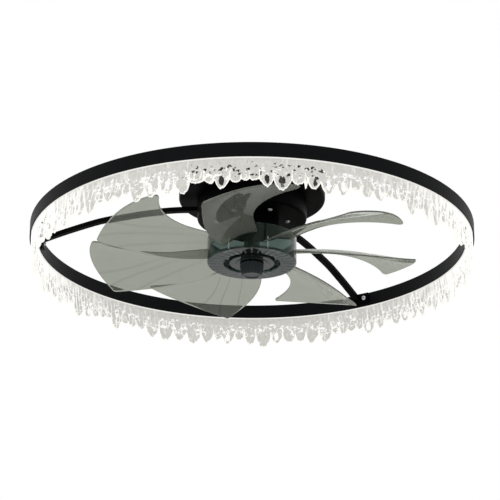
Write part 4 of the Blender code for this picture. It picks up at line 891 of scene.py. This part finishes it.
def blade_sheet(along, across):
    """The middle of a blade. Radius runs from root to a slanted tip. The low edge turns by a power law, the
    high edge pinches to a waist and flares, height rises across as 1 - (1 - u)^camber, and a zigzag whose
    corners lie on the folds is added."""
    low_turn = LOW_TURN + LOW_SWEEP * (1 - (1 - along) ** 1.3)
    to_waist = np.maximum(1 - along / WAIST, 0.0)
    past_waist = np.maximum((along - WAIST) / (1 - WAIST), 0.0)
    high_turn = HIGH_TURN + ROOT_FLARE * to_waist**2 + TIP_FLARE * past_waist**1.55
    tip = BLADE_REACH + TIP_SLANT * across - TIP_CURL * across**3
    radius = BLADE_ROOT + along * (tip - BLADE_ROOT)
    turn = np.radians(low_turn + (high_turn - low_turn) * across)
    low_z = LOW_EDGE_LIFT * (1 - along) ** 3 - LOW_EDGE_DROP
    high_z = -HIGH_EDGE_DROP - HIGH_EDGE_DIP * (1 - along) ** 4
    first, second, third = (start + slope * along + bend * along**2 for start, slope, bend in FOLDS)
    below = (across - first) / np.maximum(second - first, 0.05)
    above = (across - second) / np.maximum(third - second, 0.05)
    place = np.where(across < second, np.maximum(below, -1.0), 1 + np.minimum(above, 2.0))
    zigzag = 1 - 2 * np.abs((place / 2) % 1 * 2 - 1)
    fold = FOLD_DEPTH / 2 * np.minimum(along / WAIST, 1.0) * zigzag
    z = BLADE_TOP + low_z + (high_z - low_z) * (1 - (1 - across) ** CAMBER) + fold
    return np.stack([radius * np.cos(turn), radius * np.sin(turn), z], -1)


def even_to_edges(count, bend):
    """Shares from 0 to 1 that crowd towards both ends: u - bend sin(2 pi u) / 2 pi."""
    share = np.linspace(0.0, 1.0, count)
    return share - bend * np.sin(2 * np.pi * share) / (2 * np.pi)


along = even_to_edges(ALONG_STEPS, 0.7)[:, None]
across = even_to_edges(ACROSS_STEPS, 0.7)[None, :]
corner = 1 - np.sqrt(1 - np.clip((along - CORNER_START) / CORNER_REACH, 0, 1) ** 2)
across = LOW_CORNER * corner + across * (1 - (LOW_CORNER + HIGH_CORNER) * corner)
middle = blade_sheet(along + 0 * across, across)
from_tips = np.minimum(1 - along, along + 0.02) * RIM_ALONG
edge = np.minimum(np.minimum(across, 1 - across) * RIM_ACROSS, from_tips)
half = BLADE_THICKNESS / 2 * np.sqrt(1 - (1 - np.clip(edge, 0, 1)) ** 2)
half[-1, :] = 0.0
half[:, [0, -1]] = 0.0
lift = half[..., None] * (0.0, 0.0, 1.0)
upper, lower = middle + lift, middle - lift
loop = np.concatenate([upper, lower[:, ::-1]], 1)
loop = np.concatenate([np.broadcast_to(loop[:1].mean(1, keepdims=True), loop[:1].shape), loop])
across_mark = np.concatenate([across, across[:, ::-1]], 1)
along_mark = np.broadcast_to(along, across_mark.shape)
across_mark = np.concatenate([across_mark[:1], across_mark]).ravel()
along_mark = np.concatenate([along_mark[:1], along_mark]).ravel()

smoke, tree, place = new_material("smoky_polycarbonate")
# Smoky polycarbonate, moulded 1.8 mm thick: an even grey-green veil with a soft gloss, with painted shade
# that darkens it along its folds. Its skin has a faint moulding ripple.
u = add_node(tree, "Attribute", attribute_name="across")
v = add_node(tree, "Attribute", attribute_name="along")
nearest = 1.0
for start, slope, bend in FOLDS:
    curve = add_node(tree, "Math", {0: v.outputs["Fac"], 1: bend, 2: slope}, operation="MULTIPLY_ADD")
    line = add_node(tree, "Math", {0: v.outputs["Fac"], 1: curve, 2: start}, operation="MULTIPLY_ADD")
    away = add_node(tree, "Math", {0: u.outputs["Fac"], 1: line}, operation="SUBTRACT")
    away = add_node(tree, "Math", {0: away}, operation="ABSOLUTE")
    nearest = add_node(tree, "Math", {0: nearest, 1: away}, operation="MINIMUM")
# Painted shade: within 0.014 of a fold line the tint is darkened towards #404643 by up to 0.30.
painted_fold_shade = {"Value": nearest, "From Max": 0.014, "To Min": 1.0, "To Max": 0.0}
painted_fold_shade = add_node(tree, "MapRange", painted_fold_shade, interpolation_type="SMOOTHSTEP")
ripple = add_node(tree, "TexNoise", {"Vector": place, "Scale": 45.0, "Detail": 2.0})
tint = add_node(tree, "ValToRGB", {0: ripple}, ("#a9ada2", "#b1b4a9"))
fold_shade_share = add_node(tree, "Math", {0: painted_fold_shade, 1: 0.30}, operation="MULTIPLY")
fold_shaded_tint = add_node(tree, "MixRGB", {0: fold_shade_share, 1: tint, 2: paint("#404643")})
skin = add_node(tree, "Bump", {"Height": ripple, "Strength": 0.012, "Distance": 0.0008})
finish = {
    "Base Color": fold_shaded_tint,
    "Roughness": 0.02,
    "IOR": 1.09,
    "Transmission Weight": 0.78,
    "Coat Weight": 0.10,
    "Coat Roughness": 0.03,
    "Coat IOR": 1.5,
    "Normal": skin,
}
shader = add_node(tree, "BsdfPrincipled", finish)
add_node(tree, "OutputMaterial", {"Surface": shader})
marks = {"across": across_mark, "along": along_mark}
for number, degrees in enumerate(blade_degrees, 1):
    blade = woven(spun(loop, degrees), wrap_rows=False)
    name, node = f"smoky_blade_{number}", f"blade_{number}"
    add_piece(name, [blade], smoke, "rotor", node, marks, sharp=60.0)


# Locking knob: a tapered nut of dark glass-filled nylon with eighteen grip flutes. It screws on the shaft's
# end and holds the hub, and its end face is a shallow round dish.
KNOB_FLUTES = 18
STEPS_PER_FLUTE = 12
# Radius, height and depth of the flutes, from the top round to the middle of the end face.
KNOB_PROFILE = [(0.0, -0.1061, 0.0), (0.0125, -0.1061, 0.0), (0.0134, -0.1069, 0.0001)]
KNOB_PROFILE += [(0.0133, -0.1079, 0.0007), (0.0130, -0.1100, 0.0009), (0.0116, -0.1170, 0.0009)]
KNOB_PROFILE += [(0.0110, -0.1186, 0.0007), (0.0101, -0.1196, 0.0001), (0.0084, -0.1196, 0.0)]
KNOB_PROFILE += [(0.0076, -0.1188, 0.0), (0.0, -0.1188, 0.0)]
knob_radius, knob_z, flute_depth = np.array(KNOB_PROFILE).T[:, :, None]
knob_steps = KNOB_FLUTES * STEPS_PER_FLUTE
knob_turn = np.arange(knob_steps)[None, :] * 2 * np.pi / knob_steps
knob_r = knob_radius - flute_depth * (0.5 - 0.5 * np.cos(KNOB_FLUTES * knob_turn)) ** 2
knob = np.stack([knob_r * np.cos(knob_turn), knob_r * np.sin(knob_turn), knob_z + 0 * knob_turn], -1)
nylon_dark, tree, place = new_material("dark_filled_nylon")
# Glass-filled nylon dyed blue-black: satin, with a very fine grain.
grain = add_node(tree, "TexNoise", {"Vector": place, "Scale": 1500.0, "Detail": 2.0})
tint = add_node(tree, "ValToRGB", {0: grain}, ("#10191b", "#1b2729"))
finish = {"Base Color": tint, "Roughness": 0.3, "Specular IOR Level": 0.25}
shader = add_node(tree, "BsdfPrincipled", finish)
add_node(tree, "OutputMaterial", {"Surface": shader})
knob = woven(knob, wrap_rows=False)
add_piece("fluted_lock_knob", [knob], nylon_dark, "rotor", "lock_knob")
